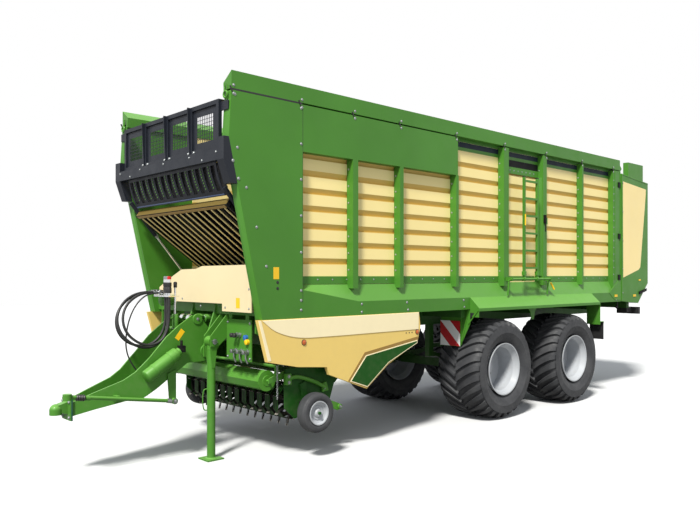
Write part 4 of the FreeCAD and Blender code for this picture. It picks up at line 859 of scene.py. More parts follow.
# ---- Studio ----
@dataclass
class Studio:
    """Pale floor, soft daylight from a white background and a camera at the front left."""

    where: Point = (7.68, 7.005, 1.98)
    look: Point = (-0.6793, -0.7339, 0.0)
    lens: float = 36.28
    sensor: float = 36.0
    shift_up: float = 0.0186
    floor_half: float = 40.0
    floor_colour: Colour = (0.77, 0.785, 0.81)
    floor_bounce: Colour = (0.30, 0.30, 0.30)
    background: Colour = (1.0, 1.0, 1.0)
    sky_colour: Colour = (0.93, 0.96, 1.0)
    ambient: float = 0.46
    sun_power: float = 4.8
    sun_colour: Colour = (1.0, 0.97, 0.90)
    sun_spread: float = 9.0
    sun_look: Point = (-0.60, -0.33, -0.80)
    fill_power: float = 130.0
    fill_size: float = 9.0
    fill_where: Point = (13.0, 6.0, 6.5)
    fill_look: Point = (-13.0, -5.0, -5.0)

    def build(self) -> None:
        """Make the camera, the floor, the lights and the background."""
        scene = bpy.context.scene
        scene.view_settings.view_transform = "Standard"
        scene.view_settings.look = "None"
        self._camera()
        self._floor()
        self._lights()
        self._background()
        LOG.info("studio built")

    def _placed(self, name: str, data: bpy.types.ID, where: Point, look: Point) -> bpy.types.Object:
        """Put a camera or a light into the scene.

        Args:
            name: its name.
            data: the camera or light itself.
            where: its place.
            look: the direction it faces.

        Returns:
            Its object.
        """
        thing = bpy.data.objects.new(name, data)
        thing.location = where
        thing.rotation_euler = Vector(look).to_track_quat("-Z", "Y").to_euler()
        bpy.context.scene.collection.objects.link(thing)
        return thing

    def _camera(self) -> bpy.types.Object:
        """Set the scene's camera.

        Returns:
            The camera.
        """
        data = bpy.data.cameras.new("view_camera")
        data.lens = self.lens
        data.sensor_width = self.sensor
        data.shift_y = self.shift_up
        data.clip_end = 200.0
        data.dof.use_dof = False
        camera = self._placed("view_camera", data, self.where, self.look)
        bpy.context.scene.camera = camera
        return camera

    def _floor(self) -> bpy.types.Object:
        """Lay a wide flat floor, its top at the ground.

        Returns:
            The floor.
        """
        mesh = bpy.data.meshes.new("floor")
        half = self.floor_half
        mesh.from_pydata([(-half, -half, 0), (half, -half, 0), (half, half, 0), (-half, half, 0)], [],
                         [(0, 1, 2, 3)])
        sheet = NodeSheet("pale_floor")
        clouds = sheet.ramp(sheet.noise(0.6, 3.0), 0.3, 0.7)
        seen = sheet.add("ShaderNodeLightPath").outputs["Is Camera Ray"]
        pale = sheet.mix(clouds, self.floor_colour, tuple(part * 0.98 for part in self.floor_colour))
        mesh.materials.append(sheet.finish(Base_Color=sheet.mix(seen, self.floor_bounce, pale),
                                           Roughness=0.9, Specular_IOR_Level=0.1))
        floor = bpy.data.objects.new("floor", mesh)
        bpy.context.scene.collection.objects.link(floor)
        return floor

    def _lights(self) -> list[bpy.types.Object]:
        """Set a soft sun at the front left and a broad fill over the wagon.

        Returns:
            The two lights.
        """
        sun = bpy.data.lights.new("sun", "SUN")
        sun.energy = self.sun_power
        sun.color = self.sun_colour
        sun.angle = math.radians(self.sun_spread)
        fill = bpy.data.lights.new("fill", "AREA")
        fill.shape = "DISK"
        fill.size = self.fill_size
        fill.energy = self.fill_power
        return [self._placed("sun", sun, ORIGIN, self.sun_look),
                self._placed("fill", fill, self.fill_where, self.fill_look)]

    def _background(self) -> None:
        """Make the world: white to cameras, mirrors and glass, and softer as light."""
        world = bpy.data.worlds.new("studio")
        world.use_nodes = True
        bpy.context.scene.world = world
        tree = world.node_tree
        tree.nodes.clear()
        path = tree.nodes.new("ShaderNodeLightPath")
        seen = tree.nodes.new("ShaderNodeBackground")
        seen.inputs["Color"].default_value = (*self.background, 1.0)
        lit = tree.nodes.new("ShaderNodeBackground")
        lit.inputs["Color"].default_value = (*self.sky_colour, 1.0)
        lit.inputs["Strength"].default_value = self.ambient
        choose = tree.nodes.new("ShaderNodeMixShader")
        output = tree.nodes.new("ShaderNodeOutputWorld")
        shown = path.outputs["Is Camera Ray"]
        for ray in ("Is Glossy Ray", "Is Transmission Ray"):
            either = tree.nodes.new("ShaderNodeMath")
            either.operation = "MAXIMUM"
            tree.links.new(shown, either.inputs[0])
            tree.links.new(path.outputs[ray], either.inputs[1])
            shown = either.outputs[0]
        tree.links.new(shown, choose.inputs[0])
        tree.links.new(lit.outputs[0], choose.inputs[1])
        tree.links.new(seen.outputs[0], choose.inputs[2])
        tree.links.new(choose.outputs[0], output.inputs[0])


# ---- Finishes of the frame's own nodes ----
# Each finish with the names of the frame's nodes that wear it.
CAD_FINISHES = {
    "slat_enamel": "left_side_wall right_side_wall side_door",
    "green_enamel": (
        "front_panels sills left_stakes right_stakes top_rails headstock coupling_panel "
        "fenders tailgate_panel tailgate_sides ladder ladder_pivot drawbar ball_coupling steering_rod "
        "drawbar_barrels support_leg crop_press"),
    "anthracite_enamel": "load_floor front_wall_barrels front_beam comb_baffle front_grille",
    "worn_steel": "scraper_chains intake_rotor",
    "black_enamel": "front_wall pickup_reel",
    "chromed_rod": "front_wall_rods hose_holder drawbar_rods",
    "drive_hood_enamel": "front_hood",
    # Parts under the body wear a darker green as painted shade.
    "underbody_shade_green_enamel": (
        "chassis_frame rotor_trough gearbox front_axle rear_axle left_knuckle "
        "right_knuckle suspension"),
    "hood_enamel": "side_hoods",
    "tread_rubber": (
        "tyre_front_left tyre_front_right tyre_rear_left tyre_rear_right left_gauge_wheel "
        "right_gauge_wheel"),
    "silver_enamel": "rim_front_left rim_front_right rim_rear_left rim_rear_right",
    "black_plastic": "rear_lamps",
    "band_enamel": "pickup_frame",
    "light_green_enamel": "press_roller",
    "hose_rubber": "hose_1 hose_2 hose_3 hose_4",
}


def finish_frame_nodes() -> None:
    """Give every node of the frame its material."""
    for finish, names in CAD_FINISHES.items():
        surface = material(finish)
        for name in names.split():
            piece = NODES[name]
            if not piece.material_slots:
                piece.data.materials.append(surface)
            for slot in piece.material_slots:
                slot.material = surface
            LOG.info("%s: %s", name, finish)


# ---- Hoses ----
@dataclass
class HoseRun:
    """One hose: its route between two connections, in metres."""

    name: str
    start: Point
    route: tuple[Point, ...]
    end: Point
    radius: float = 0.014

    def points(self) -> np.ndarray:
        """Return the start, the route and the end as (n, 3)."""
        return np.array([self.start, *self.route, self.end])

    def build(self) -> bpy.types.Object:
        """Make the hose as a curve whose control points are its route.

        Returns:
            The curve, declared as a cord.
        """
        line = self.points()
        curve = bpy.data.curves.new(f"{self.name}_cord", "CURVE")
        curve.dimensions = "3D"
        curve.bevel_depth = self.radius
        curve.bevel_resolution = 5
        curve.resolution_u = 10
        curve.use_fill_caps = True
        spline = curve.splines.new("NURBS")
        spline.points.add(len(line) - 1)
        spline.points.foreach_set("co", np.column_stack([line, np.ones(len(line))]).ravel())
        spline.order_u = 3
        spline.use_endpoint_u = True
        hose = bpy.data.objects.new(curve.name, curve)
        bpy.context.scene.collection.objects.link(hose)
        curve.materials.append(material("hose_rubber"))
        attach(hose, "drawbar")
        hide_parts(self.name)
        return hose


HOSES = (
    HoseRun("hose_1", (4.010, -0.060, 1.800), (
        (4.150, -0.060, 1.800), (4.290, -0.052, 1.740), (4.390, -0.032, 1.640), (4.430, 0.0, 1.510),
        (4.400, 0.030, 1.380), (4.300, 0.060, 1.280), (4.170, 0.085, 1.235), (4.050, 0.107, 1.270),
        (3.980, 0.118, 1.370), (3.957, 0.121, 1.500), (3.955, 0.120, 1.630)), (3.955, 0.120, 1.750)),
    HoseRun("hose_2", (4.020, -0.110, 1.800), (
        (4.170, -0.110, 1.800), (4.320, -0.095, 1.745), (4.430, -0.070, 1.640), (4.475, -0.040, 1.505),
        (4.440, -0.010, 1.365), (4.330, 0.018, 1.255), (4.190, 0.040, 1.205), (4.055, 0.055, 1.235),
        (3.970, 0.063, 1.340), (3.942, 0.063, 1.475), (3.945, 0.060, 1.610)), (3.945, 0.060, 1.750)),
    HoseRun("hose_3", (4.015, -0.158, 1.800), (
        (4.160, -0.158, 1.800), (4.300, -0.146, 1.730), (4.410, -0.124, 1.630), (4.460, -0.097, 1.500),
        (4.440, -0.072, 1.370), (4.350, -0.047, 1.270), (4.220, -0.027, 1.225), (4.090, -0.012, 1.240),
        (3.985, -0.003, 1.330), (3.938, 0.003, 1.460), (3.935, 0.0, 1.600)), (3.935, 0.0, 1.750)),
    HoseRun("hose_4", (4.010, -0.010, 1.790), (
        (4.115, -0.010, 1.790), (4.220, -0.012, 1.730), (4.300, -0.015, 1.625), (4.350, -0.019, 1.500),
        (4.375, -0.023, 1.370), (4.380, -0.025, 1.240), (4.355, -0.020, 1.120), (4.300, -0.010, 1.020),
        (4.241, 0.0, 0.940)), (4.190, 0.0, 0.880), radius=0.008),
)


# ---- Wheels ----
@dataclass
class TreadTyre:
    """Wide radial tyre: round carcass, sidewall ring and slanted lugs over the shoulders."""

    node: str
    body: str
    outer: float = 0.690
    bead: float = 0.362
    inner_y: float = 0.625
    outer_y: float = 1.345
    wall: tuple[Flat, ...] = ((0.985, 0.600), (1.0, 0.560), (0.995, 0.520), (0.999, 0.512),
                              (0.999, 0.500), (0.985, 0.492), (0.955, 0.445), (0.895, 0.405),
                              (0.845, 0.385), (0.820, 0.372))
    lug_count: int = 30
    lug_deep: float = 0.040
    lug_wide: float = 0.076
    lean: float = 0.30

    def centre(self) -> np.ndarray:
        """Return the middle of the frame's own tyre."""
        low, high = corners_of(self.node)
        return (low + high) / 2

    def profile(self, share: np.ndarray, lift: float) -> np.ndarray:
        """Return the tread's height at a share of the half width.

        The carcass is nearly flat to the shoulder and then falls as a power of the share.

        Args:
            share: 0 at the middle of the tread, 1 at the sidewall.
            lift: height over the carcass.

        Returns:
            Radii.
        """
        return self.outer - self.lug_deep + lift - 0.020 * share ** 2 - 0.055 * share ** 9

    def carcass(self, half: float) -> Shape:
        """Make the carcass as a ring-shaped profile turned about the axle.

        Args:
            half: half of the tyre's width.

        Returns:
            The closed carcass.
        """
        share = np.sin(np.linspace(-1, 1, 33) * np.pi / 2)
        tread = np.stack([share * half * 0.965, self.profile(np.abs(share), 0.0)], axis=1)
        wall = np.array([*self.wall, (0.790, self.bead)])
        wall[:, 0] *= half
        other = wall[::-1] * np.array([-1, 1])
        return turned(np.concatenate([tread, wall, other]), (0, 0, 0), 1, 96, ring=True)

    def lug(self, half: float, side: float) -> Shape:
        """Return one lug: a bar bent over the carcass from near the middle to the shoulder.

        The bar's middle line turns about the axle by the lean times the share of the half width,
        and its flanks spread towards the carcass.

        Args:
            half: half of the tyre's width.
            side: 1 for the outer half of the tread, -1 for the inner half.

        Returns:
            The closed bar.
        """
        share = np.linspace(0.03, 1.0, 14)
        angle = self.lean * (1 - share) ** 1.3
        width = self.lug_wide * (0.52 + 0.55 * share)
        top = self.profile(share, self.lug_deep)
        foot = self.profile(share, -0.012)
        across = share * half * 0.965
        across_top = np.minimum(across, half * 0.955)
        corners = []
        for reach, flank, place in ((foot, 0.60, across), (top, 0.42, across_top),
                                    (top, -0.42, across_top), (foot, -0.60, across)):
            turn = angle + flank * width / self.outer
            corners.append(np.stack([reach * np.sin(turn), side * place, reach * np.cos(turn)], axis=1))
        points = np.stack(corners, axis=1)
        cells = grid_faces(len(share), 4, False, True)
        first = np.arange(4)[None]
        last = first + (len(share) - 1) * 4
        faces = (cells, first[:, ::-1], last) if side > 0 else (cells[:, ::-1], first, last[:, ::-1])
        return Shape(points.reshape(-1, 3), faces)

    def build(self) -> None:
        """Make the tyre in place of the frame's plain one."""
        centre = self.centre()
        half = (self.outer_y - self.inner_y) / 2
        step = 2 * np.pi / self.lug_count
        parts = [self.carcass(half)]
        for side, offset in ((1.0, 0.0), (-1.0, 0.5)):
            lug = self.lug(half, side)
            turns = (np.arange(self.lug_count) + offset) * step
            spin = np.zeros((self.lug_count, 3, 3))
            spin[:, 0, 0] = spin[:, 2, 2] = np.cos(turns)
            spin[:, 0, 2] = np.sin(turns)
            spin[:, 2, 0] = -np.sin(turns)
            spin[:, 1, 1] = 1.0
            points = np.einsum("nij,kj->nki", spin, lug.points).reshape(-1, 3)
            starts = (np.arange(self.lug_count) * len(lug.points))[:, None, None]
            faces = tuple((group[None] + starts).reshape(-1, group.shape[1]) for group in lug.faces)
            parts.append(Shape(points, faces))
        shape = Shape.join(parts).moved(*centre)
        add_piece(self.node + "_tread", shape, "tread_rubber", self.body, (self.node,), sharp=30)


@dataclass
class WheelDetails:
    """Rim flange, hub cap and wheel nuts of one main wheel."""

    node: str
    body: str
    side: float
    nut_count: int = 10
    nut_circle: float = 0.168
    lip: float = 0.009
    step: float = 0.006

    def build(self) -> None:
        """Make the wheel's small parts on the frame's rim."""
        low, high = corners_of(self.node)
        centre = (low + high) / 2
        radius = (high[2] - low[2]) / 2
        edge = high[1] if self.side > 0 else low[1]
        bend = np.linspace(0, 2 * np.pi, 10, endpoint=False)
        lip = np.stack([self.lip * np.cos(bend) * self.side - 0.010 * self.side,
                        radius - 0.012 + self.lip * np.sin(bend)], axis=1)
        flange = turned(lip, (centre[0], edge, centre[2]), 1, 72, ring=True)
        step = np.stack([self.step * np.cos(bend) - 0.070 * self.side,
                         radius - 0.034 + self.step * np.sin(bend)], axis=1)
        inner = turned(step, (centre[0], edge, centre[2]), 1, 72, ring=True)
        add_piece(self.node + "_flange", Shape.join([flange, inner]), "silver_enamel", self.body)
        disc = self.disc_place(centre, low, high)
        turns = np.linspace(0, 2 * np.pi, self.nut_count, endpoint=False)
        nuts = places(centre[0] + self.nut_circle * np.cos(turns), disc,
                      centre[2] + self.nut_circle * np.sin(turns))
        cap = turned([(0.0, 0.118), (0.045 * self.side, 0.116), (0.060 * self.side, 0.104),
                      (0.066 * self.side, 0.040)], (centre[0], disc, centre[2]), 1, 36)
        add_piece(self.node + "_hub_cap", cap, "silver_enamel", self.body, bevel=0.002)
        add_piece(self.node + "_nuts", hex_bolts(nuts, 1, 0.016, self.side), "zinc_plate", self.body)

    def disc_place(self, centre: np.ndarray, low: np.ndarray, high: np.ndarray) -> float:
        """Return where the wheel disc's outer face is, found by a ray at the nut circle.

        Args:
            centre: middle of the rim.
            low: lowest corner of the rim.
            high: highest corner of the rim.

        Returns:
            The face's place along Y.
        """
        start = Vector((centre[0] + self.nut_circle, high[1] + 0.1 if self.side > 0 else low[1] - 0.1,
                        centre[2]))
        hit, place, _, _ = NODES[self.node].ray_cast(start, Vector((0, -self.side, 0)))
        return place.y if hit else float(centre[1])


@dataclass
class GaugeWheel:
    """Small smooth tyre and ringed silver rim of the pick-up's gauge wheel."""

    node: str
    body: str
    side: float
    rim: float = 0.128
    rings: tuple[Flat, ...] = ((-0.7, -0.004), (0.86, 0.003), (0.92, 0.001), (0.90, -0.010),
                               (0.55, -0.018), (0.40, -0.046), (0.52, -0.060), (0.40, -0.076))
    cap: tuple[Flat, ...] = ((0.62, 0.040), (0.78, 0.034), (0.80, 0.010))

    def build(self) -> None:
        """Make the tyre and the rim in place of the frame's plain wheel."""
        low, high = corners_of(self.node)
        centre = (low + high) / 2
        outer = (high[2] - low[2]) / 2
        half = (high[1] - low[1]) / 2
        bend = np.linspace(0, 2 * np.pi, 40, endpoint=False)
        middle = (outer + self.rim) / 2
        tall = outer - middle
        line = np.stack([half * 0.99 * np.sign(np.cos(bend)) * np.abs(np.cos(bend)) ** 0.55,
                         middle + tall * np.sign(np.sin(bend)) * np.abs(np.sin(bend)) ** 0.8], axis=1)
        grooves = 0.004 * ((np.cos(line[:, 0] / half * 9.0) > 0.55) & (line[:, 1] > middle))
        line[:, 1] -= grooves
        tyre = turned(line, centre, 1, 64, ring=True)
        add_piece(self.node + "_tyre", tyre, "tread_rubber", self.body, (self.node,), sharp=30)
        profile = [(half * share * self.side, self.rim + reach) for share, reach in self.rings]
        profile += [(half * share * self.side, reach) for share, reach in self.cap]
        disc = turned(profile, centre, 1, 48)
        add_piece(self.node + "_rim", disc, "silver_enamel", self.body, (self.node,))


# ---- Body ----
@dataclass
class PanelBolts:
    """Dome bolts, joints, stickers and plugs of the long sides."""

    face: float = SIDE_FACE
    rail_x: tuple[float, ...] = (3.846, 2.993, 2.225, 1.461, 0.398, -0.677, -1.752, -2.817, -3.862)
    edge: tuple[Flat, ...] = ((3.852, 3.750), (3.823, 3.233), (3.717, 2.850), (3.595, 2.464),
                              (3.476, 2.073))
    seam_x: float = 2.985
    seam_z: tuple[float, ...] = (3.745, 3.369, 2.994, 2.611, 2.225, 1.822, 1.718, 1.617)
    rail_joint: float = 3.7965
    sill_x: tuple[float, ...] = (2.119, 1.342, 0.243, -0.85, -1.95, -3.05, -3.95)
    sill_top_x: Point = (2.119, 1.36, 0.26)
    fold: tuple[Flat, ...] = ((3.494, 1.535), (3.506, 1.535), (3.902, 3.330), (3.873, 3.785),
                              (3.862, 3.785), (3.889, 3.332))
    sticker: tuple[Flat, ...] = ((3.295, 1.943), (3.366, 2.065))
    plug_x: float = 3.314
    plug_z: Flat = (1.910, 1.848)

    def build(self) -> None:
        """Make the small parts of both long sides."""
        self._bolts()
        self._joints()
        self._stickers()

    def _bolts(self) -> None:
        """Place the bolts along the rail, the front edge and the seam."""
        rail = [places(self.rail_x, self.face, self.rail_joint + 0.040),
                places(self.rail_x, self.face, self.rail_joint - 0.042)]
        edge = np.array(self.edge)
        rows = [*rail, places(edge[:, 0] - 0.02, self.face, edge[:, 1]),
                places(self.seam_x + 0.020, self.face, self.seam_z),
                places(self.sill_x, self.face, 1.565), places(self.sill_top_x, self.face, 1.655)]
        add_pair("side_bolts", dome_bolts(np.concatenate(rows), 1), "zinc_plate")
        clips = block((-0.008, 0, -0.030), (0.008, 0.006, 0.030)).turned(1, 25)
        spots = places(np.array(self.rail_x) + 0.03, self.face, self.rail_joint)
        add_pair("rail_clips", clips.repeated(spots), "black_plastic")

    def _joints(self) -> None:
        """Lay the dark joint under the rail and the folded light-green front edge."""
        z = self.rail_joint
        strip = block((2.99, 1.1935, z - 0.0085), (3.86, 1.1956, z + 0.0085))
        seam = block((self.seam_x - 0.006, 1.190, 1.70), (self.seam_x - 0.002, 1.1957, z - 0.01))
        add_pair("panel_joints", Shape.join([strip, seam]), "black_plastic")
        fold = prism(self.fold, Plane.XZ, 1.110, 1.192)
        add_pair("front_folds", fold, "light_green_enamel", bevel=0.002)

    def _stickers(self) -> None:
        """Place the blank stickers and the two plugs on each front panel."""
        (rear, low), (front, high) = self.sticker
        sticker = block((rear, 1.1940, low), (front, 1.1960, high))
        add_pair("panel_stickers", sticker, "yellow_film")
        plugs = turned([(0.0, 0.016), (0.004, 0.015), (0.006, 0.008)], ORIGIN, 1, 16)
        plugs = plugs.repeated(places(self.plug_x, 1.1945, self.plug_z))
        add_pair("panel_plugs", plugs, "black_plastic")


def grown(outline: Sequence[Flat], reach: float) -> list[Flat]:
    """Move every side of an outline outwards by one distance.

    Each corner goes to where its two moved sides meet.

    Args:
        outline: corners in order.
        reach: distance, or a negative one to shrink the outline.

    Returns:
        The new corners.
    """
    flat = np.array(outline, float)
    before, after = np.roll(flat, 1, axis=0), np.roll(flat, -1, axis=0)
    area = np.sum(flat[:, 0] * after[:, 1] - after[:, 0] * flat[:, 1])
    first, second = flat - before, after - flat
    first /= np.linalg.norm(first, axis=1, keepdims=True)
    second /= np.linalg.norm(second, axis=1, keepdims=True)
    turn = np.array([1.0, -1.0]) * math.copysign(1.0, area)
    out_a, out_b = first[:, ::-1] * turn, second[:, ::-1] * turn
    middle = out_a + out_b
    moved = flat + reach * middle / (np.sum(middle * out_a, axis=1, keepdims=True))
    return [tuple(corner) for corner in moved]


@dataclass
class SideHoods:
    """Raised top band and borders in a painted highlight, recess in painted shade, inset panel and
    reflectors of both moulded side hoods.
    """

    face: float = SIDE_FACE
    crease: tuple[Flat, ...] = ((3.512, 1.524), (3.33, 1.402), (3.04, 1.326), (2.63, 1.314),
                                (1.90, 1.316), (1.155, 1.319))
    recess: tuple[Flat, ...] = ((2.334, 0.797), (2.073, 1.101), (1.157, 1.232), (1.172, 1.168),
                                (1.687, 0.9395), (2.039, 0.6885))
    inset: tuple[Flat, ...] = ((2.282, 0.796), (2.047, 1.055), (1.186, 1.176), (1.186, 1.158),
                               (1.687, 0.961), (2.034, 0.712))
    front_band: tuple[Flat, ...] = ((3.554, 1.526), (3.520, 1.522), (3.392, 1.108), (3.436, 1.106))
    reflectors: tuple[Flat, ...] = ((2.968, 1.272), (1.178, 1.287))
    fastener_x: Point = (1.27, 1.32, 1.375)

    def build(self) -> None:
        """Make the parts of both hoods."""
        face = self.face
        line = [tuple(point) for point in smooth_line(self.crease, 8)]
        # The top and front bands and the inset border are painted paler: a painted highlight.
        band = side_plate([*line, (1.149, 1.527)], face, 0.007)
        add_pair("hood_top_bands", band, "hood_highlight_enamel", bevel=0.004)
        front = side_plate(self.front_band, face, 0.003)
        add_pair("hood_front_bands", front, "hood_highlight_enamel", bevel=0.002)
        # The recess is painted dark brown as painted shade.
        recess = side_plate(self.recess, face, 0.0012)
        add_pair("hood_recesses", recess, "painted_shade_cream_enamel")
        border = side_plate(grown(self.inset, 0.011), face, 0.004)
        add_pair("hood_inset_borders", border, "hood_highlight_enamel", bevel=0.0015)
        inset = prism(self.inset, Plane.XZ, face + 0.003, face + 0.0052)
        add_pair("hood_insets", inset, "deep_green_enamel")
        at = np.array(self.reflectors)
        spots = places(at[:, 0], face, at[:, 1])
        lens = turned([(0.002, 0.026), (0.009, 0.0255), (0.011, 0.022)], ORIGIN, 1, 28)
        rim = turned([(-0.001, 0.031), (0.006, 0.031), (0.007, 0.029)], ORIGIN, 1, 28)
        add_pair("hood_reflectors", lens.repeated(spots), "orange_lens")
        add_pair("reflector_rims", rim.repeated(spots), "black_plastic")
        dots = dome_bolts(places(self.fastener_x, face, 1.285), 1, 0.006)
        add_pair("hood_fasteners", dots, "black_plastic")


@dataclass
class FrontHoodTrim:
    """Edge strip, blank sticker and fasteners of the hood over the drive."""

    front: float = 3.560
    left: float = 1.0755

    def build(self) -> None:
        """Make the strip that closes the hood to the left panel, and its small parts."""
        f = self.front
        outline = [(3.256, 2.090), (f, 2.090), (f, 1.600), (f - 0.012, 1.600), (f - 0.012, 2.078),
                   (3.256, 2.078)]
        edge = prism(outline, Plane.XZ, 0.994, self.left)
        add_piece("front_hood_edge", edge, "drive_hood_enamel")
        sticker = block((f - 0.001, 0.805, 1.640), (f + 0.0012, 0.875, 1.747))
        add_piece("front_hood_sticker", sticker, "yellow_film")
        bolts = np.concatenate([places(f, 1.040, (2.030, 1.840, 1.640)), places(f, (0.60, 0.10), 1.640),
                                places(f, (-0.30, -0.78), 1.715)])
        add_piece("front_hood_bolts", dome_bolts(bolts, 0, 0.009), "zinc_plate")


@dataclass
class Grille:
    """Framed bays of perforated sheet above the front beam."""

    bays: int = 4
    bar: float = 0.045
    columns: int = 9
    rows: int = 7
    hole: Flat = (0.026, 0.034)
    half: float = 1.040
    open_share: float = 0.66
    sheet_thick: float = 0.003
    deep: float = 0.040
    lever_at: Flat = (3.895, 1.125)
    lever_up: float = 0.42

    def build(self) -> None:
        """Make the frame, its sheets and their ribs in place of the frame's plain one."""
        low, high = corners_of("front_grille")
        ear_low = high[2] - 0.120
        x0, x1 = low[0], low[0] + self.deep
        z0, z1 = low[2], high[2]
        half = self.half
        width = (2 * half - self.bar) / self.bays
        parts = [block((x0, -half, z0), (x1, half, z0 + self.bar)),
                 block((x0, -half, z1 - self.bar), (x1, half, z1)),
                 block((x0 - 0.028, -half, z1 - 0.012), (x0 + 0.001, half, z1))]
        posts = -half + np.arange(self.bays + 1) * width
        post = block((x0, 0, z0 + self.bar - 0.001), (x1, self.bar, z1 - self.bar + 0.001))
        parts.append(post.repeated(places(0, posts, 0)))
        rib = prism([(x1 - 0.001, z0 + 0.02), (x1 + 0.010, z0 + 0.02), (x1 + 0.034, z1 - 0.03),
                     (x1 + 0.034, z1), (x1 - 0.001, z1)], Plane.XZ, 0.004, 0.014)
        parts.append(rib.repeated(places(0, posts[1:-1], 0)))
        add_piece("grille_frame", Shape.join(parts), "anthracite_enamel", replaced=("front_grille",),
                  bevel=0.0015)
        sheets = [self._sheet(y + self.bar - 0.001, width - self.bar + 0.002, x0 + 0.018,
                              z0 + self.bar - 0.001, z1 - self.bar + 0.001) for y in posts[:-1]]
        add_piece("grille_sheets", Shape.join(sheets), "anthracite_enamel")
        ear = block((x0 + 0.006, half, ear_low), (x0 + 0.018, 1.175, ear_low + 0.09))
        add_pair("grille_ears", ear, "anthracite_enamel", bevel=0.002)
        heads = places(x1, np.concatenate([posts[1:-1] + 0.09, posts[1:-1] - 0.02]), z0 + 0.022)
        add_piece("grille_bolts", hex_bolts(heads, 0, 0.013), "zinc_plate")
        self._levers(corners_of("front_beam")[1][2])

    def _sheet(self, y: float, width: float, x: float, low: float, high: float) -> Shape:
        """Return one perforated sheet as a grid whose hole cells are left open.

        Args:
            y: its right edge.
            width: its width.
            x: its rear face.
            low: its lower edge.
            high: its upper edge.

        Returns:
            The closed sheet.
        """
        span_y, span_z = width * self.open_share, (high - low) * self.open_share
        start_y = y + (width - span_y) / 2
        start_z = low + (high - low - span_z) / 2
        pitch_y, pitch_z = span_y / self.columns, span_z / self.rows
        edge_y = start_y + np.arange(self.columns)[:, None] * pitch_y + np.array([0, self.hole[0]])
        edge_z = start_z + np.arange(self.rows)[:, None] * pitch_z + np.array([0, self.hole[1]])
        line_y = np.concatenate([[y], edge_y.ravel(), [y + width]])
        line_z = np.concatenate([[low], edge_z.ravel(), [high]])
        cell_y, cell_z = np.meshgrid(np.arange(len(line_y) - 1), np.arange(len(line_z) - 1),
                                     indexing="ij")
        open_cell = (cell_y % 2 == 1) & (cell_z % 2 == 1)
        grid_y, grid_z = np.meshgrid(line_y, line_z, indexing="ij")
        layer = np.stack([np.full(grid_y.size, x), grid_y.ravel(), grid_z.ravel()], axis=1)
        count = len(layer)
        points = np.concatenate([layer, layer + np.array([self.sheet_thick, 0, 0])])
        rows = len(line_z)
        corner = cell_y * rows + cell_z
        quads = np.stack([corner, corner + rows, corner + rows + 1, corner + 1], axis=-1)
        quad, ring = quads[~open_cell], quads[open_cell]
        walls = np.concatenate([np.stack([ring[:, k], ring[:, (k + 1) % 4], ring[:, (k + 1) % 4] + count,
                                          ring[:, k] + count], axis=1) for k in range(4)])
        last = len(line_y) - 1
        rim = np.concatenate([np.arange(last + 1) * rows, last * rows + np.arange(1, rows),
                              np.arange(last - 1, -1, -1) * rows + rows - 1, np.arange(rows - 2, 0, -1)])
        after = np.roll(rim, -1)
        outside = np.stack([rim, after, after + count, rim + count], axis=1)[:, ::-1]
        return Shape(points, (quad[:, ::-1], quad + count, walls, outside[:, ::-1]))

    def _levers(self, beam_top: float) -> None:
        """Place the ring-shaped green levers at both upper corners.

        Args:
            beam_top: height of the front beam's top.
        """
        bend = np.linspace(0, 2 * np.pi, 10, endpoint=False)
        ring = turned(np.stack([0.010 * np.cos(bend), 0.032 + 0.010 * np.sin(bend)], axis=1),
                      (*self.lever_at, beam_top + self.lever_up), 0, 24, ring=True)
        stem = rod((3.890, 1.105, beam_top + 0.46), (3.890, 1.095, beam_top + 0.53), 0.009)
        add_pair("corner_levers", Shape.join([ring, stem]), "light_green_enamel")


